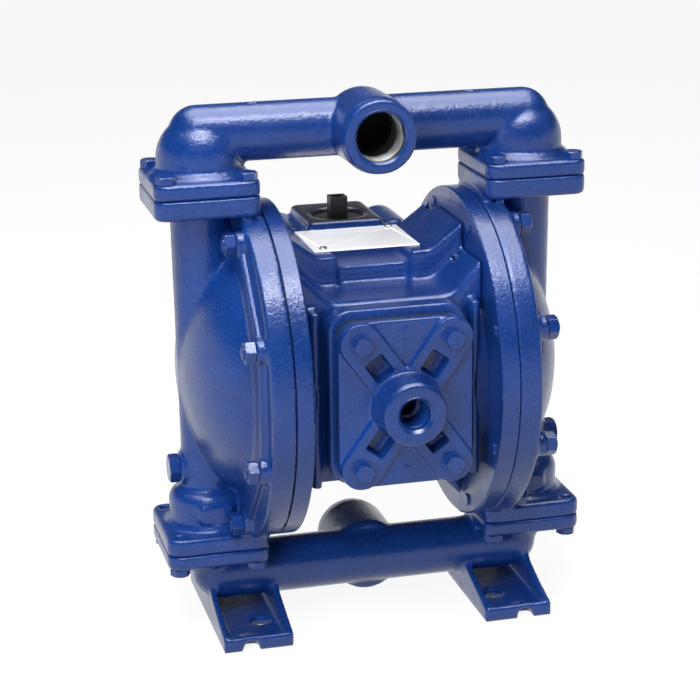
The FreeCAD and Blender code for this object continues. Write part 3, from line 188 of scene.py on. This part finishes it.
def join(parts, name):
    bpy.ops.object.select_all(action="DESELECT")
    for part in parts:
        part.select_set(True)
    bpy.context.view_layer.objects.active = parts[0]
    bpy.ops.object.join()
    parts[0].name = name
    parts[0].data.name = name
    return parts[0]


def loose_boxes(node):
    """Lowest and highest corner of each separate solid in a CAD node."""
    piece = merged_copy(node, "measure")
    bpy.ops.object.mode_set(mode="EDIT")
    bpy.ops.mesh.select_all(action="SELECT")
    bpy.ops.mesh.separate(type="LOOSE")
    bpy.ops.object.mode_set(mode="OBJECT")
    found = []
    for part in list(bpy.context.selected_objects):
        corners = [v.co for v in part.data.vertices]
        low = Vector([min(c[i] for c in corners) for i in range(3)])
        high = Vector([max(c[i] for c in corners) for i in range(3)])
        found.append((low, high))
        bpy.data.objects.remove(part)
    return sorted(found, key=lambda pair: [round(pair[0][i], 4) for i in (2, 1, 0)])


# Materials
def shader_of(material):
    return material.node_tree.nodes["Principled BSDF"]


def new_material(name, colour, roughness, metallic=0.0):
    """Plain shader under this name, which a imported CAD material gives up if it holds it."""
    packed = bpy.data.materials.get(name)
    if packed:
        packed.name = "packed_" + name
    material = bpy.data.materials.new(name)
    material.use_nodes = True
    shader = shader_of(material)
    shader.inputs["Base Color"].default_value = (*colour, 1)
    shader.inputs["Roughness"].default_value = roughness
    shader.inputs["Metallic"].default_value = metallic
    return material


def add_node(material, kind, **values):
    node = material.node_tree.nodes.new(kind)
    for key, value in values.items():
        setattr(node, key, value)
    return node


def link(material, output, target):
    material.node_tree.links.new(output, target)


def noise(material, scale, detail=3.0, roughness=0.55, stretch=(1, 1, 1)):
    """Noise on Object coordinates, with scale in waves per metre."""
    place = add_node(material, "ShaderNodeTexCoord")
    mapping = add_node(material, "ShaderNodeMapping")
    mapping.inputs["Scale"].default_value = stretch
    texture = add_node(material, "ShaderNodeTexNoise")
    texture.inputs["Scale"].default_value = scale
    texture.inputs["Detail"].default_value = detail
    texture.inputs["Roughness"].default_value = roughness
    link(material, place.outputs["Object"], mapping.inputs["Vector"])
    link(material, mapping.outputs["Vector"], texture.inputs["Vector"])
    return texture.outputs["Fac"]


def spread(material, value, low, high, to_low=0.0, to_high=1.0):
    node = add_node(material, "ShaderNodeMapRange")
    node.inputs["From Min"].default_value = low
    node.inputs["From Max"].default_value = high
    node.inputs["To Min"].default_value = to_low
    node.inputs["To Max"].default_value = to_high
    link(material, value, node.inputs["Value"])
    return node.outputs["Result"]


def mixed(material, factor, first, second):
    """Mix of two colours, each a colour or another node's output."""
    node = add_node(material, "ShaderNodeMix", data_type="RGBA")
    link(material, factor, node.inputs["Factor"])
    for name, value in (("A", first), ("B", second)):
        socket = [s for s in node.inputs if s.name == name and s.type == "RGBA"][0]
        if hasattr(value, "links"):
            link(material, value, socket)
        else:
            socket.default_value = (*value, 1)
    return [s for s in node.outputs if s.type == "RGBA"][0]


def bump(material, height, distance, strength=1.0, below=None):
    node = add_node(material, "ShaderNodeBump")
    node.inputs["Strength"].default_value = strength
    node.inputs["Distance"].default_value = distance
    link(material, height, node.inputs["Height"])
    if below is not None:
        link(material, below, node.inputs["Normal"])
    return node.outputs["Normal"]


def enamel(name, settings, grain_share):
    """Sprayed blue enamel over sand-cast metal, with painted highlight on the grains' tops and
    painted shade in their hollows.
    """
    material = new_material(name, settings.colour, settings.gloss)
    shader = shader_of(material)
    broad = spread(material, noise(material, 14, 3), 0.35, 0.65)
    tone = mixed(material, broad, tuple(settings.deep), tuple(settings.colour))
    grains = noise(material, 620, 3, 0.6)
    # Painted highlight: the sand grain's tops, where the bump rises, are paler.
    grain_highlight_mask = spread(material, grains, 0.56, 0.74, 0.0, 0.55)
    highlight_colour = tuple(min(1, c * 1.7 + 0.012) for c in settings.colour)
    # Painted shade: the sand grain's hollows, where the bump sinks, are darker.
    grain_shade_mask = spread(material, grains, 0.46, 0.3, 0.0, 0.6)
    shade_colour = tuple(c * 0.55 for c in settings.deep)
    highlighted_tone = mixed(material, grain_highlight_mask, tone, highlight_colour)
    link(material, mixed(material, grain_shade_mask, highlighted_tone, shade_colour), shader.inputs["Base Color"])
    streaks = spread(material, noise(material, 55, 4, 0.6), 0.3, 0.7,
                     settings.gloss - 0.07, settings.gloss + 0.09)
    link(material, streaks, shader.inputs["Roughness"])
    depth = settings.grain * grain_share
    waves = bump(material, noise(material, 95, 2), settings.grain * 2.0, 0.35)
    peel = bump(material, noise(material, 300, 2, 0.5), depth, 0.7, waves)
    sand = bump(material, grains, depth * 1.1, 0.9, peel)
    link(material, sand, shader.inputs["Normal"])
    shader.inputs["Specular IOR Level"].default_value = 0.35
    shader.inputs["Coat Weight"].default_value = 0.5
    shader.inputs["Coat Roughness"].default_value = 0.13
    link(material, sand, shader.inputs["Coat Normal"])
    return material


def plain_metal(name, colour, rough_low, rough_high, scale, stretch=(1, 1, 1), depth=0.00003):
    """Metal with fine tool marks and a slightly uneven sheen."""
    material = new_material(name, colour, rough_low, 1.0)
    shader = shader_of(material)
    marks = noise(material, scale, 4, 0.6, stretch)
    sheen = spread(material, marks, 0.3, 0.7, rough_low, rough_high)
    link(material, sheen, shader.inputs["Roughness"])
    dull = tuple(c * 0.72 for c in colour)
    blotches = spread(material, noise(material, scale / 8, 3), 0.4, 0.75, 0.0, 0.6)
    link(material, mixed(material, blotches, colour, dull), shader.inputs["Base Color"])
    link(material, bump(material, marks, depth, 0.5), shader.inputs["Normal"])
    return material


def plain_matt(name, colour, roughness, scale, depth, lift=1.35):
    """Rubber, moulded plastic or plate paint with a fine skin."""
    material = new_material(name, colour, roughness)
    shader = shader_of(material)
    skin = noise(material, scale, 3, 0.6)
    broad = spread(material, noise(material, scale / 20, 3), 0.35, 0.7)
    paler = tuple(min(1, c * lift) for c in colour)
    link(material, mixed(material, broad, colour, paler), shader.inputs["Base Color"])
    sheen = spread(material, skin, 0.3, 0.7, roughness - 0.06, roughness + 0.08)
    link(material, sheen, shader.inputs["Roughness"])
    link(material, bump(material, skin, depth, 0.6), shader.inputs["Normal"])
    return material


def material_called(name):
    """A finish that the finishes operator has mixed."""
    return bpy.data.materials[name]


class PUMP_OT_finishes(bpy.types.Operator):
    """Mix the enamel, metals, rubbers and plastics that the pieces are given"""
    bl_idname = "pump.finishes"
    bl_label = "Mix finishes"

    def execute(self, context):
        settings = context.scene.pump_enamel
        enamel("blue_enamel", settings, 1.0)
        enamel("blue_enamel_smooth", settings, 0.45)
        plain_metal("zinc_plated_steel", (0.66, 0.67, 0.66), 0.24, 0.42, 900)
        plain_metal("bright_steel", (0.72, 0.72, 0.73), 0.18, 0.32, 1200, (1, 12, 12))
        plain_metal("machined_aluminium", (0.8, 0.81, 0.82), 0.22, 0.36, 1100, (12, 1, 1))
        plain_metal("machined_thread", (0.86, 0.87, 0.87), 0.3, 0.42, 1300, depth=0.00001)
        plain_metal("seat_steel", (0.66, 0.66, 0.67), 0.22, 0.36, 1000)
        plain_metal("bearing_bronze", (0.62, 0.42, 0.2), 0.25, 0.4, 1000)
        plain_matt("diaphragm_rubber", (0.018, 0.018, 0.02), 0.6, 700, 0.00005)
        plain_matt("gasket_black", (0.02, 0.02, 0.022), 0.65, 900, 0.00004)
        plain_matt("ball_white", (0.86, 0.86, 0.83), 0.35, 500, 0.00003, 1.05)
        plain_matt("seal_white", (0.84, 0.84, 0.81), 0.4, 500, 0.00003, 1.05)
        plain_matt("plug_black", (0.012, 0.012, 0.014), 0.42, 1100, 0.00005)
        plate = plain_matt("nameplate_white", (0.95, 0.95, 0.96), 0.3, 160, 0.000003, 1.02)
        # Painted light: the plate glows white, so that it shows brighter than the lamps light it.
        shader_of(plate).inputs["Emission Color"].default_value = (1, 1, 1, 1)
        shader_of(plate).inputs["Emission Strength"].default_value = 0.6
        shader_of(plate).inputs["Specular IOR Level"].default_value = 0.9
        shader_of(plate).inputs["Coat Weight"].default_value = 1.0
        shader_of(plate).inputs["Coat Roughness"].default_value = 0.12
        # Near black for the manifolds' bores: painted shade deep in the pipes.
        plain_matt("bore_painted_shade", (0.02, 0.021, 0.022), 0.75, 600, 0.0003)
        # Dark grey for the exhaust pad's top, and painted shade on the exhaust port's wall.
        plain_matt("pad_grey_and_port_shade", (0.028, 0.029, 0.05), 0.3, 700, 0.00008)
        return {"FINISHED"}


# Castings
def ring_share(point):
    """Share of the relaxing: none at the rings' parting, little on the outer rings, else all."""
    dome_r, lug_top_x, parting_x, ring_relax = 0.086, 0.0905, 0.0715, 0.22
    x, y, z = point
    if math.hypot(y, z - rod_z) < dome_r or abs(x) > lug_top_x:
        return 1.0
    return 0.0 if abs(x) < parting_x else ring_relax


def soften(piece, voxel, rounds, share=None):
    """Remesh a casting finely and relax it, so that its corners and creases are round."""
    remesh = piece.modifiers.new("Skin", "REMESH")
    remesh.mode = "VOXEL"
    remesh.voxel_size = voxel
    remesh.use_smooth_shade = True
    apply_modifiers(piece)
    relax = piece.modifiers.new("Relax", "SMOOTH")
    relax.factor = 0.5
    relax.iterations = rounds
    if share:
        group = piece.vertex_groups.new(name="relaxed")
        for v in piece.data.vertices:
            group.add([v.index], share(v.co), "REPLACE")
        relax.vertex_group = group.name
    apply_modifiers(piece)


def paint_where(piece, material, wanted):
    """Give the faces whose centre is wanted a second material."""
    piece.data.materials.append(material)
    for face in piece.data.polygons:
        if wanted(face.center):
            face.material_index = 1


def on_pad(point):
    """True on the exhaust pad's grey top and on the wall of the exhaust port, which the same dark
    grey paints as shade.
    """
    plug_rise, pad_depth, pad_front_y, pad_half_x = 0.011, 0.0009, 0.041, 0.0245
    port_r, port_depth = 0.0187, 0.03
    x, y, z = point
    pad_z = plug_high.z - plug_rise
    if z > pad_z - pad_depth:
        return y > pad_front_y and abs(x) < pad_half_x
    # The port's wall takes the pad's dark grey as painted shade.
    plug = (plug_low + plug_high) / 2
    return math.hypot(x - plug.x, y - plug.y) < port_r and z > pad_z - port_depth


def inside_pipe(point, port):
    """True in the bore of a manifold's pipe or in the room behind its port, where the painted shade
    goes.
    """
    bore_r, bore_half_length, room_r, room_depth = 0.0137, 0.1, 0.0152, 0.0425
    x, y, z = point
    axis_z = mounts[port]["pos_m"][2]
    facing = mounts[port]["axis"][1]
    pipe = math.hypot(y, z - axis_z) < bore_r and abs(x) < bore_half_length
    room = math.hypot(x, z - axis_z) < room_r and 0 < y * facing < room_depth
    return pipe or room


def part_cages_from_pipe(piece):
    """Lower the discharge manifold's ball cages, so that its pipe ends round above them."""
    drop, cage_r, bore_r, same = 0.006, 0.0257, 0.0127, 0.0001
    most_pipe_r, ball_depth, foot_depth, stub = 0.0178, 0.0255, 0.0125, 0.03
    low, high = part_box("left_discharge_ball")
    cage_x = abs(low.x + high.x) / 2
    pipe_z = mounts["discharge_port"]["pos_m"][2]
    pipe_r = min(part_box("discharge_manifold")[1].z - pipe_z, most_pipe_r)
    ball_z = pipe_z + pipe_r - ball_depth
    foot_z = ball_z - foot_depth
    for v in piece.data.vertices:
        out = math.hypot(v.co.y, v.co.z - pipe_z)
        near = math.hypot(abs(v.co.x) - cage_x, v.co.y) < cage_r
        on_wall = min(abs(out - pipe_r), abs(out - bore_r)) < same
        on_pipe = abs(v.co.x) < cage_x - 3 * same and on_wall
        if near and v.co.z > foot_z and not on_pipe:
            v.co.z -= drop * min(1.0, (v.co.z - foot_z) / (ball_z - foot_z))
    parts = [piece]
    for side in (-1, 1):
        bpy.ops.mesh.primitive_cylinder_add(vertices=96, radius=pipe_r, depth=stub,
                                            location=(side * (cage_x - stub / 2), 0, pipe_z),
                                            rotation=(0, math.pi / 2, 0))
        apply_place(bpy.context.object)
        parts.append(bpy.context.object)
        bpy.ops.mesh.primitive_uv_sphere_add(segments=96, ring_count=48, radius=pipe_r,
                                             location=(side * cage_x, 0, pipe_z))
        apply_place(bpy.context.object)
        parts.append(bpy.context.object)
    return join(parts, piece.name)


class PUMP_OT_castings(bpy.types.Operator):
    """Soften every casting and paint it, with painted shade in the manifolds' bores and the exhaust
    port, and the exhaust pad grey
    """
    bl_idname = "pump.castings"
    bl_label = "Castings"

    def execute(self, context):
        settings = context.scene.pump_casting
        small, turned_edge = 0.12, 0.0006
        for node in castings:
            piece = merged_copy(node, node + "_cast")
            voxel_share, rounds = 1.0, settings.relax
            if node == "discharge_manifold":
                piece = part_cages_from_pipe(piece)
                rounds = 3
            elif node == "intermediate_housing":
                voxel_share = 1.25
            elif max(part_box(node)[1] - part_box(node)[0]) < small:
                voxel_share, rounds = 0.55, 5
            soften(piece, settings.voxel * voxel_share, rounds,
                   ring_share if "outer_chamber" in node else None)
            dress(piece, material_called("blue_enamel"), "blue_enamel", node)
            if node.endswith("manifold"):
                # The bores and the rooms behind the ports get near black as painted shade.
                port = node.replace("manifold", "port")
                paint_where(piece, material_called("bore_painted_shade"), lambda c: inside_pipe(c, port))
            elif node == "intermediate_housing":
                # The pad's top is grey; the port's wall gets the same grey as painted shade.
                paint_where(piece, material_called("pad_grey_and_port_shade"), on_pad)
            print("casting", node, len(piece.data.polygons))
        for node in turned_castings:
            piece = bevelled_copy(node, node + "_cast", turned_edge)
            dress(piece, material_called("blue_enamel"), "blue_enamel", node)
        return {"FINISHED"}


# Fasteners
def bevelled_copy(node, name, width, flat=False):
    """Merged copy of a CAD node with fine bevels on its sharp edges, shaded flat or smooth."""
    piece = merged_copy(node, name)
    edge = piece.modifiers.new("Edge", "BEVEL")
    edge.width = width
    edge.segments = 2
    edge.limit_method = "ANGLE"
    edge.angle_limit = math.radians(28)
    edge.use_clamp_overlap = True
    apply_modifiers(piece)
    if flat:
        bpy.ops.object.shade_flat()
        return piece
    smooth_shade(piece, 32)
    even = piece.modifiers.new("Even", "WEIGHTED_NORMAL")
    even.keep_sharp = True
    apply_modifiers(piece)
    return piece


def turn_nuts(piece, node):
    """Turn each ring nut about its stud, the left ring's two front ones as in the photo."""
    reach, front_angle, angle_step = 0.009, -12, 9
    for k, (low, high) in enumerate(loose_boxes(node)):
        centre = (low + high) / 2
        front = node.startswith("left") and k in (2, 4)
        angle = front_angle if front else angle_step * (k % 3)
        turn = Matrix.Rotation(math.radians(angle), 4, "X")
        for v in piece.data.vertices:
            from_centre = v.co - centre
            if math.hypot(from_centre.y, from_centre.z) < reach:
                v.co = centre + turn @ from_centre


class PUMP_OT_painted_fasteners(bpy.types.Operator):
    """Round the edges of the painted heads, nuts and plugs and paint them with the castings"""
    bl_idname = "pump.painted_fasteners"
    bl_label = "Painted fasteners"

    def execute(self, context):
        width = context.scene.pump_hardware.edge
        for node in painted_fasteners:
            piece = bevelled_copy(node, node + "_painted", width)
            if node.endswith("ring_nuts"):
                turn_nuts(piece, node)
            dress(piece, material_called("blue_enamel_smooth"), "blue_enamel", node)
        return {"FINISHED"}


def thread_ridge(name, crest_r, root_r, pitch, length):
    """Helical ridge of triangular section round Z that starts at the origin and runs up."""
    steps, half_foot = 96, 0.48
    middle = (crest_r + root_r) / 2
    bpy.ops.mesh.primitive_circle_add(vertices=3, radius=abs(crest_r - root_r), fill_type="NGON",
                                      location=(middle, 0, 0), rotation=(math.pi / 2, 0, 0))
    ridge = bpy.context.object
    ridge.name = name
    apply_place(ridge)
    corners = sorted(ridge.data.vertices, key=lambda v: v.co.z)
    tip = crest_r - middle
    places = [(-tip, -pitch * half_foot), (tip, 0.0), (-tip, pitch * half_foot)]
    for corner, (dx, dz) in zip(corners, places):
        corner.co = (middle + dx, 0, dz)
    sweep = ridge.modifiers.new("Helix", "SCREW")
    sweep.axis = "Z"
    sweep.angle = 2 * math.pi
    sweep.screw_offset = pitch
    sweep.iterations = max(1, int(length / pitch))
    sweep.steps = steps
    sweep.render_steps = steps
    sweep.use_merge_vertices = False
    sweep.use_smooth_shade = False
    apply_modifiers(ridge)
    bpy.ops.object.mode_set(mode="EDIT")
    bpy.ops.mesh.select_all(action="SELECT")
    bpy.ops.mesh.remove_doubles(threshold=merge_distance / 2)
    bpy.ops.mesh.fill_holes(sides=3)
    bpy.ops.mesh.normals_make_consistent(inside=False)
    bpy.ops.object.mode_set(mode="OBJECT")
    return ridge


def turn_onto(piece, axis, place):
    """Turn a piece modelled along Z onto another axis and put it in place."""
    turn = Vector((0, 0, 1)).rotation_difference(Vector(axis)).to_matrix().to_4x4()
    piece.data.transform(Matrix.Translation(Vector(place)) @ turn)


def port_sleeve(name, bore_r, mouth_r, length, pitch):
    """Machined bore along Z with its mouth at z 0: mouth cone, plain wall and thread's ridge."""
    crest_in, root_out, wall_t, run_out, run_in = 0.0005, 0.0002, 0.0007, 2.5, 0.8
    flare = mouth_r - bore_r
    bpy.ops.mesh.primitive_cylinder_add(vertices=96, radius=bore_r, depth=length,
                                        end_fill_type="NOTHING",
                                        location=(0, 0, -flare - length / 2))
    tube = bpy.context.object
    tube.name = name
    apply_place(tube)
    bpy.ops.object.mode_set(mode="EDIT")
    bpy.ops.mesh.select_all(action="DESELECT")
    bpy.ops.object.mode_set(mode="OBJECT")
    for v in tube.data.vertices:
        v.select = abs(v.co.z + flare) < merge_distance / 2
    for e in tube.data.edges:
        e.select = all(tube.data.vertices[i].select for i in e.vertices)
    bpy.ops.object.mode_set(mode="EDIT")
    bpy.ops.mesh.select_mode(type="EDGE")
    bpy.ops.mesh.extrude_edges_move(TRANSFORM_OT_translate={"value": (0, 0, flare)})
    grow = mouth_r / bore_r
    bpy.ops.transform.resize(value=(grow, grow, 1), center_override=(0, 0, 0))
    bpy.ops.mesh.select_mode(type="VERT")
    bpy.ops.mesh.select_all(action="SELECT")
    bpy.ops.mesh.normals_make_consistent(inside=False)
    bpy.ops.object.mode_set(mode="OBJECT")
    wall = tube.modifiers.new("Wall", "SOLIDIFY")
    wall.thickness = wall_t
    wall.offset = 1.0
    apply_modifiers(tube)
    bpy.ops.object.mode_set(mode="EDIT")
    bpy.ops.mesh.select_all(action="SELECT")
    bpy.ops.mesh.normals_make_consistent(inside=False)
    bpy.ops.object.mode_set(mode="OBJECT")
    ridge = thread_ridge("ridge", bore_r - crest_in, bore_r + root_out, pitch,
                         length - run_out * pitch)
    for v in ridge.data.vertices:
        v.co.z -= flare + length - run_in * pitch
    sleeve = join([tube, ridge], name)
    smooth_shade(sleeve, 30)
    return sleeve


class PUMP_OT_port_threads(bpy.types.Operator):
    """Line the liquid ports with bright threads and painted mouths, and the air inlet in blue"""
    bl_idname = "pump.port_threads"
    bl_label = "Port threads"

    def execute(self, context):
        settings = context.scene.pump_hardware
        gap, sunk, cone_share = 0.00012, 0.00002, 0.96
        for port, pitch, flare in (("discharge_port", settings.port_pitch, 0.0014),
                                   ("suction_port", settings.port_pitch, 0.0014),
                                   ("air_inlet", settings.inlet_pitch, 0.0018)):
            facts = mounts[port]
            length = facts["dims"]["length_mm"] / 1000
            bore_r = facts["dims"]["r_mm"] / 1000 - gap
            axis = Vector(facts["axis"])
            mouth = Vector(facts["pos_m"]) + axis * (length / 2 + flare)
            sleeve = port_sleeve(port + "_thread", bore_r, bore_r + flare, length, pitch)
            turn_onto(sleeve, axis, mouth - axis * sunk)
            if port == "air_inlet":
                dress(sleeve, material_called("blue_enamel_smooth"), "blue_enamel")
            else:
                dress(sleeve, material_called("machined_thread"), "machined_aluminium")
                paint_where(sleeve, material_called("blue_enamel_smooth"),
                            lambda c: (c - mouth).dot(axis) > -cone_share * flare)
        return {"FINISHED"}


# Plate, plug, diaphragms and the parts inside
class PUMP_OT_trim(bpy.types.Operator):
    """Finish the bare plate and its screws, the exhaust plug and the end caps' screws"""
    bl_idname = "pump.trim"
    bl_label = "Plate, plug and screws"

    def execute(self, context):
        # The nameplate's white material glows, a painted light.
        for node, material, width in (("nameplate", "nameplate_white", 0.0003),
                                      ("nameplate_screws", "bright_steel", 0.0002),
                                      ("exhaust_plug", "plug_black", 0.0006),
                                      ("end_cap_screws", "zinc_plated_steel", 0.0003)):
            piece = bevelled_copy(node, node + "_finished", width, node == "nameplate")
            dress(piece, material_called(material), material, node)
        return {"FINISHED"}


class PUMP_OT_diaphragms(bpy.types.Operator):
    """Give the diaphragms their rubber, with the paint's overspray on their rims"""
    bl_idname = "pump.diaphragms"
    bl_label = "Diaphragms"

    def execute(self, context):
        rim_r = 0.1
        for node in ("left_diaphragm", "right_diaphragm"):
            piece = merged_copy(node, node + "_rimmed")
            smooth_shade(piece, 32)
            dress(piece, material_called("diaphragm_rubber"), "diaphragm_rubber", node)
            paint_where(piece, material_called("blue_enamel_smooth"),
                        lambda c: math.hypot(c.y, c.z - rod_z) > rim_r)
        return {"FINISHED"}


class PUMP_OT_inner_parts(bpy.types.Operator):
    """Give the CAD nodes that stay the finish of their own material slot"""
    bl_idname = "pump.inner_parts"
    bl_label = "Inner parts"

    def execute(self, context):
        slots = {row["node"]: row["material_slot"] for row in frame["record"]["subparts"]}
        for name, node in frame["nodes"].items():
            if node.hide_render:
                continue
            node.data.materials.clear()
            node.data.materials.append(material_called(slots[name]))
        return {"FINISHED"}


# Stage
# Name, place, target, size and watts; some only show in reflections, others only light matt faces
mirrored_lamps = [
    ("overhead_sheen", (0.05, 0.02, 1.25), (0.05, 0.02, 0.2), (1.1, 1.3), 24),
    ("strip_sheen", (0.0, -0.47, 1.2), (0, -0.05, 0.2), (0.6, 0.2), 7),
]
lighting_lamps = [
    ("key_high", (-0.45, -0.95, 1.5), (0, 0, 0.17), (0.8, 0.8), 17),
    ("back_high", (0.0, 0.8, 1.5), (0, 0, 0.2), (0.9, 0.6), 6),
    ("front_left", (-1.2, -1.4, 0.6), (0, 0, 0.17), (0.8, 0.8), 17),
    ("side_right", (1.5, -0.7, 0.6), (0, 0, 0.17), (0.5, 0.8), 6),
]


def add_softbox(name, place, target, size, watts, mirrored):
    """Rectangular lamp that faces its target and is either mirrored or lights."""
    bpy.ops.object.light_add(type="AREA", location=place)
    lamp = bpy.context.object
    lamp.name = name
    lamp.rotation_euler = (Vector(target) - Vector(place)).to_track_quat("-Z", "Y").to_euler()
    lamp.data.shape = "RECTANGLE"
    lamp.data.size, lamp.data.size_y = size
    lamp.data.energy = watts
    lamp.visible_diffuse = not mirrored
    lamp.visible_glossy = mirrored


def seen_directly(tree):
    """One for a ray from the camera, a reflection or a clear material, and zero for others."""
    path = tree.nodes.new("ShaderNodeLightPath")
    first = tree.nodes.new("ShaderNodeMath")
    first.operation = "MAXIMUM"
    second = tree.nodes.new("ShaderNodeMath")
    second.operation = "MAXIMUM"
    tree.links.new(path.outputs["Is Camera Ray"], first.inputs[0])
    tree.links.new(path.outputs["Is Glossy Ray"], first.inputs[1])
    tree.links.new(first.outputs[0], second.inputs[0])
    tree.links.new(path.outputs["Is Transmission Ray"], second.inputs[1])
    return second.outputs[0]


def add_walls():
    """Dark walls round the studio, which the enamel mirrors above the floor and its horizon."""
    bpy.ops.mesh.primitive_cylinder_add(vertices=96, radius=3.2, depth=4.2, end_fill_type="NOTHING",
                                        location=(0, 0, 2.75))
    walls = bpy.context.object
    walls.name = "studio_walls"
    apply_place(walls)
    walls.visible_camera = False
    walls.visible_shadow = False
    walls.data.materials.append(new_material("dark_cloth", (0.05, 0.05, 0.055), 0.9))


class PUMP_OT_stage(bpy.types.Operator):
    """Add the pale floor, the soft lamps, the even sky and the camera"""
    bl_idname = "pump.stage"
    bl_label = "Stage"

    def execute(self, context):
        settings = context.scene.pump_stage
        bpy.ops.mesh.primitive_plane_add(size=settings.floor_size, location=(0, 0, -0.0004))
        floor = context.object
        floor.name = "studio_floor"
        apply_place(floor)
        seen_tone, bounce_tone, glow_strength = 0.2, 0.3, 0.9
        paper = bpy.data.materials.new("floor_paper")
        paper.use_nodes = True
        tree = paper.node_tree
        tree.nodes.clear()
        output = tree.nodes.new("ShaderNodeOutputMaterial")
        diffuse = tree.nodes.new("ShaderNodeBsdfDiffuse")
        diffuse.inputs["Color"].default_value = (seen_tone, seen_tone, seen_tone, 1)
        bounce = tree.nodes.new("ShaderNodeBsdfDiffuse")
        bounce.inputs["Color"].default_value = (bounce_tone, bounce_tone, bounce_tone, 1)
        glow = tree.nodes.new("ShaderNodeEmission")
        glow.inputs["Strength"].default_value = glow_strength
        both = tree.nodes.new("ShaderNodeAddShader")
        mix = tree.nodes.new("ShaderNodeMixShader")
        tree.links.new(seen_directly(tree), mix.inputs["Fac"])
        tree.links.new(bounce.outputs[0], mix.inputs[1])
        tree.links.new(diffuse.outputs[0], both.inputs[0])
        tree.links.new(glow.outputs[0], both.inputs[1])
        tree.links.new(both.outputs[0], mix.inputs[2])
        tree.links.new(mix.outputs[0], output.inputs["Surface"])
        floor.data.materials.append(paper)

        world = bpy.data.worlds.new("studio")
        context.scene.world = world
        world.use_nodes = True
        sky = world.node_tree.nodes["Background"]
        sky.inputs["Color"].default_value = (1, 1, 1, 1)
        level = world.node_tree.nodes.new("ShaderNodeMapRange")
        level.inputs["To Min"].default_value = settings.ambient
        level.inputs["To Max"].default_value = 1.0
        world.node_tree.links.new(seen_directly(world.node_tree), level.inputs["Value"])
        world.node_tree.links.new(level.outputs["Result"], sky.inputs["Strength"])

        for row in mirrored_lamps:
            add_softbox(*row, mirrored=True)
        for row in lighting_lamps:
            add_softbox(*row, mirrored=False)
        add_walls()

        sa, ca = math.sin(settings.azimuth), math.cos(settings.azimuth)
        sp, cp = math.sin(settings.pitch), math.cos(settings.pitch)
        forward = Vector((sa * cp, ca * cp, -sp))
        right = Vector((ca, -sa, 0))
        down = forward.cross(right)
        across = right * math.cos(settings.roll) + down * math.sin(settings.roll)
        downward = down * math.cos(settings.roll) - right * math.sin(settings.roll)
        eye = Vector(settings.target) - forward * settings.distance
        turn = Matrix((across, -downward, -forward)).transposed().to_4x4()
        bpy.ops.object.camera_add()
        camera = context.object
        camera.name = "photo_camera"
        camera.matrix_world = Matrix.Translation(eye) @ turn
        camera.data.sensor_width = 36
        camera.data.lens = settings.lens
        camera.data.clip_end = 50
        context.scene.camera = camera
        context.scene.view_settings.view_transform = "Standard"
        return {"FINISHED"}


class PUMP_PT_panel(bpy.types.Panel):
    """Steps that finish the pump, in order"""
    bl_label = "Pump finish"
    bl_idname = "PUMP_PT_panel"
    bl_space_type = "VIEW_3D"
    bl_region_type = "UI"
    bl_category = "Pump"

    def draw(self, context):
        for operator in operators:
            self.layout.operator(operator.bl_idname)


operators = [PUMP_OT_stage, PUMP_OT_finishes, PUMP_OT_castings, PUMP_OT_painted_fasteners,
             PUMP_OT_port_threads, PUMP_OT_trim, PUMP_OT_diaphragms, PUMP_OT_inner_parts]
groups = {"pump_enamel": PumpEnamel, "pump_casting": PumpCasting, "pump_hardware": PumpHardware,
          "pump_stage": PumpStage}


def register():
    for cls in list(groups.values()) + operators + [PUMP_PT_panel]:
        bpy.utils.register_class(cls)
    for name, cls in groups.items():
        setattr(bpy.types.Scene, name, PointerProperty(type=cls))


def unregister():
    for name in groups:
        delattr(bpy.types.Scene, name)
    for cls in reversed(list(groups.values()) + operators + [PUMP_PT_panel]):
        bpy.utils.unregister_class(cls)


def main():
    register()
    bpy.ops.pump.stage()
    bpy.ops.pump.finishes()
    bpy.ops.pump.castings()
    bpy.ops.pump.painted_fasteners()
    bpy.ops.pump.port_threads()
    bpy.ops.pump.trim()
    bpy.ops.pump.diaphragms()
    bpy.ops.pump.inner_parts()


if __name__ == "__main__":
    main()
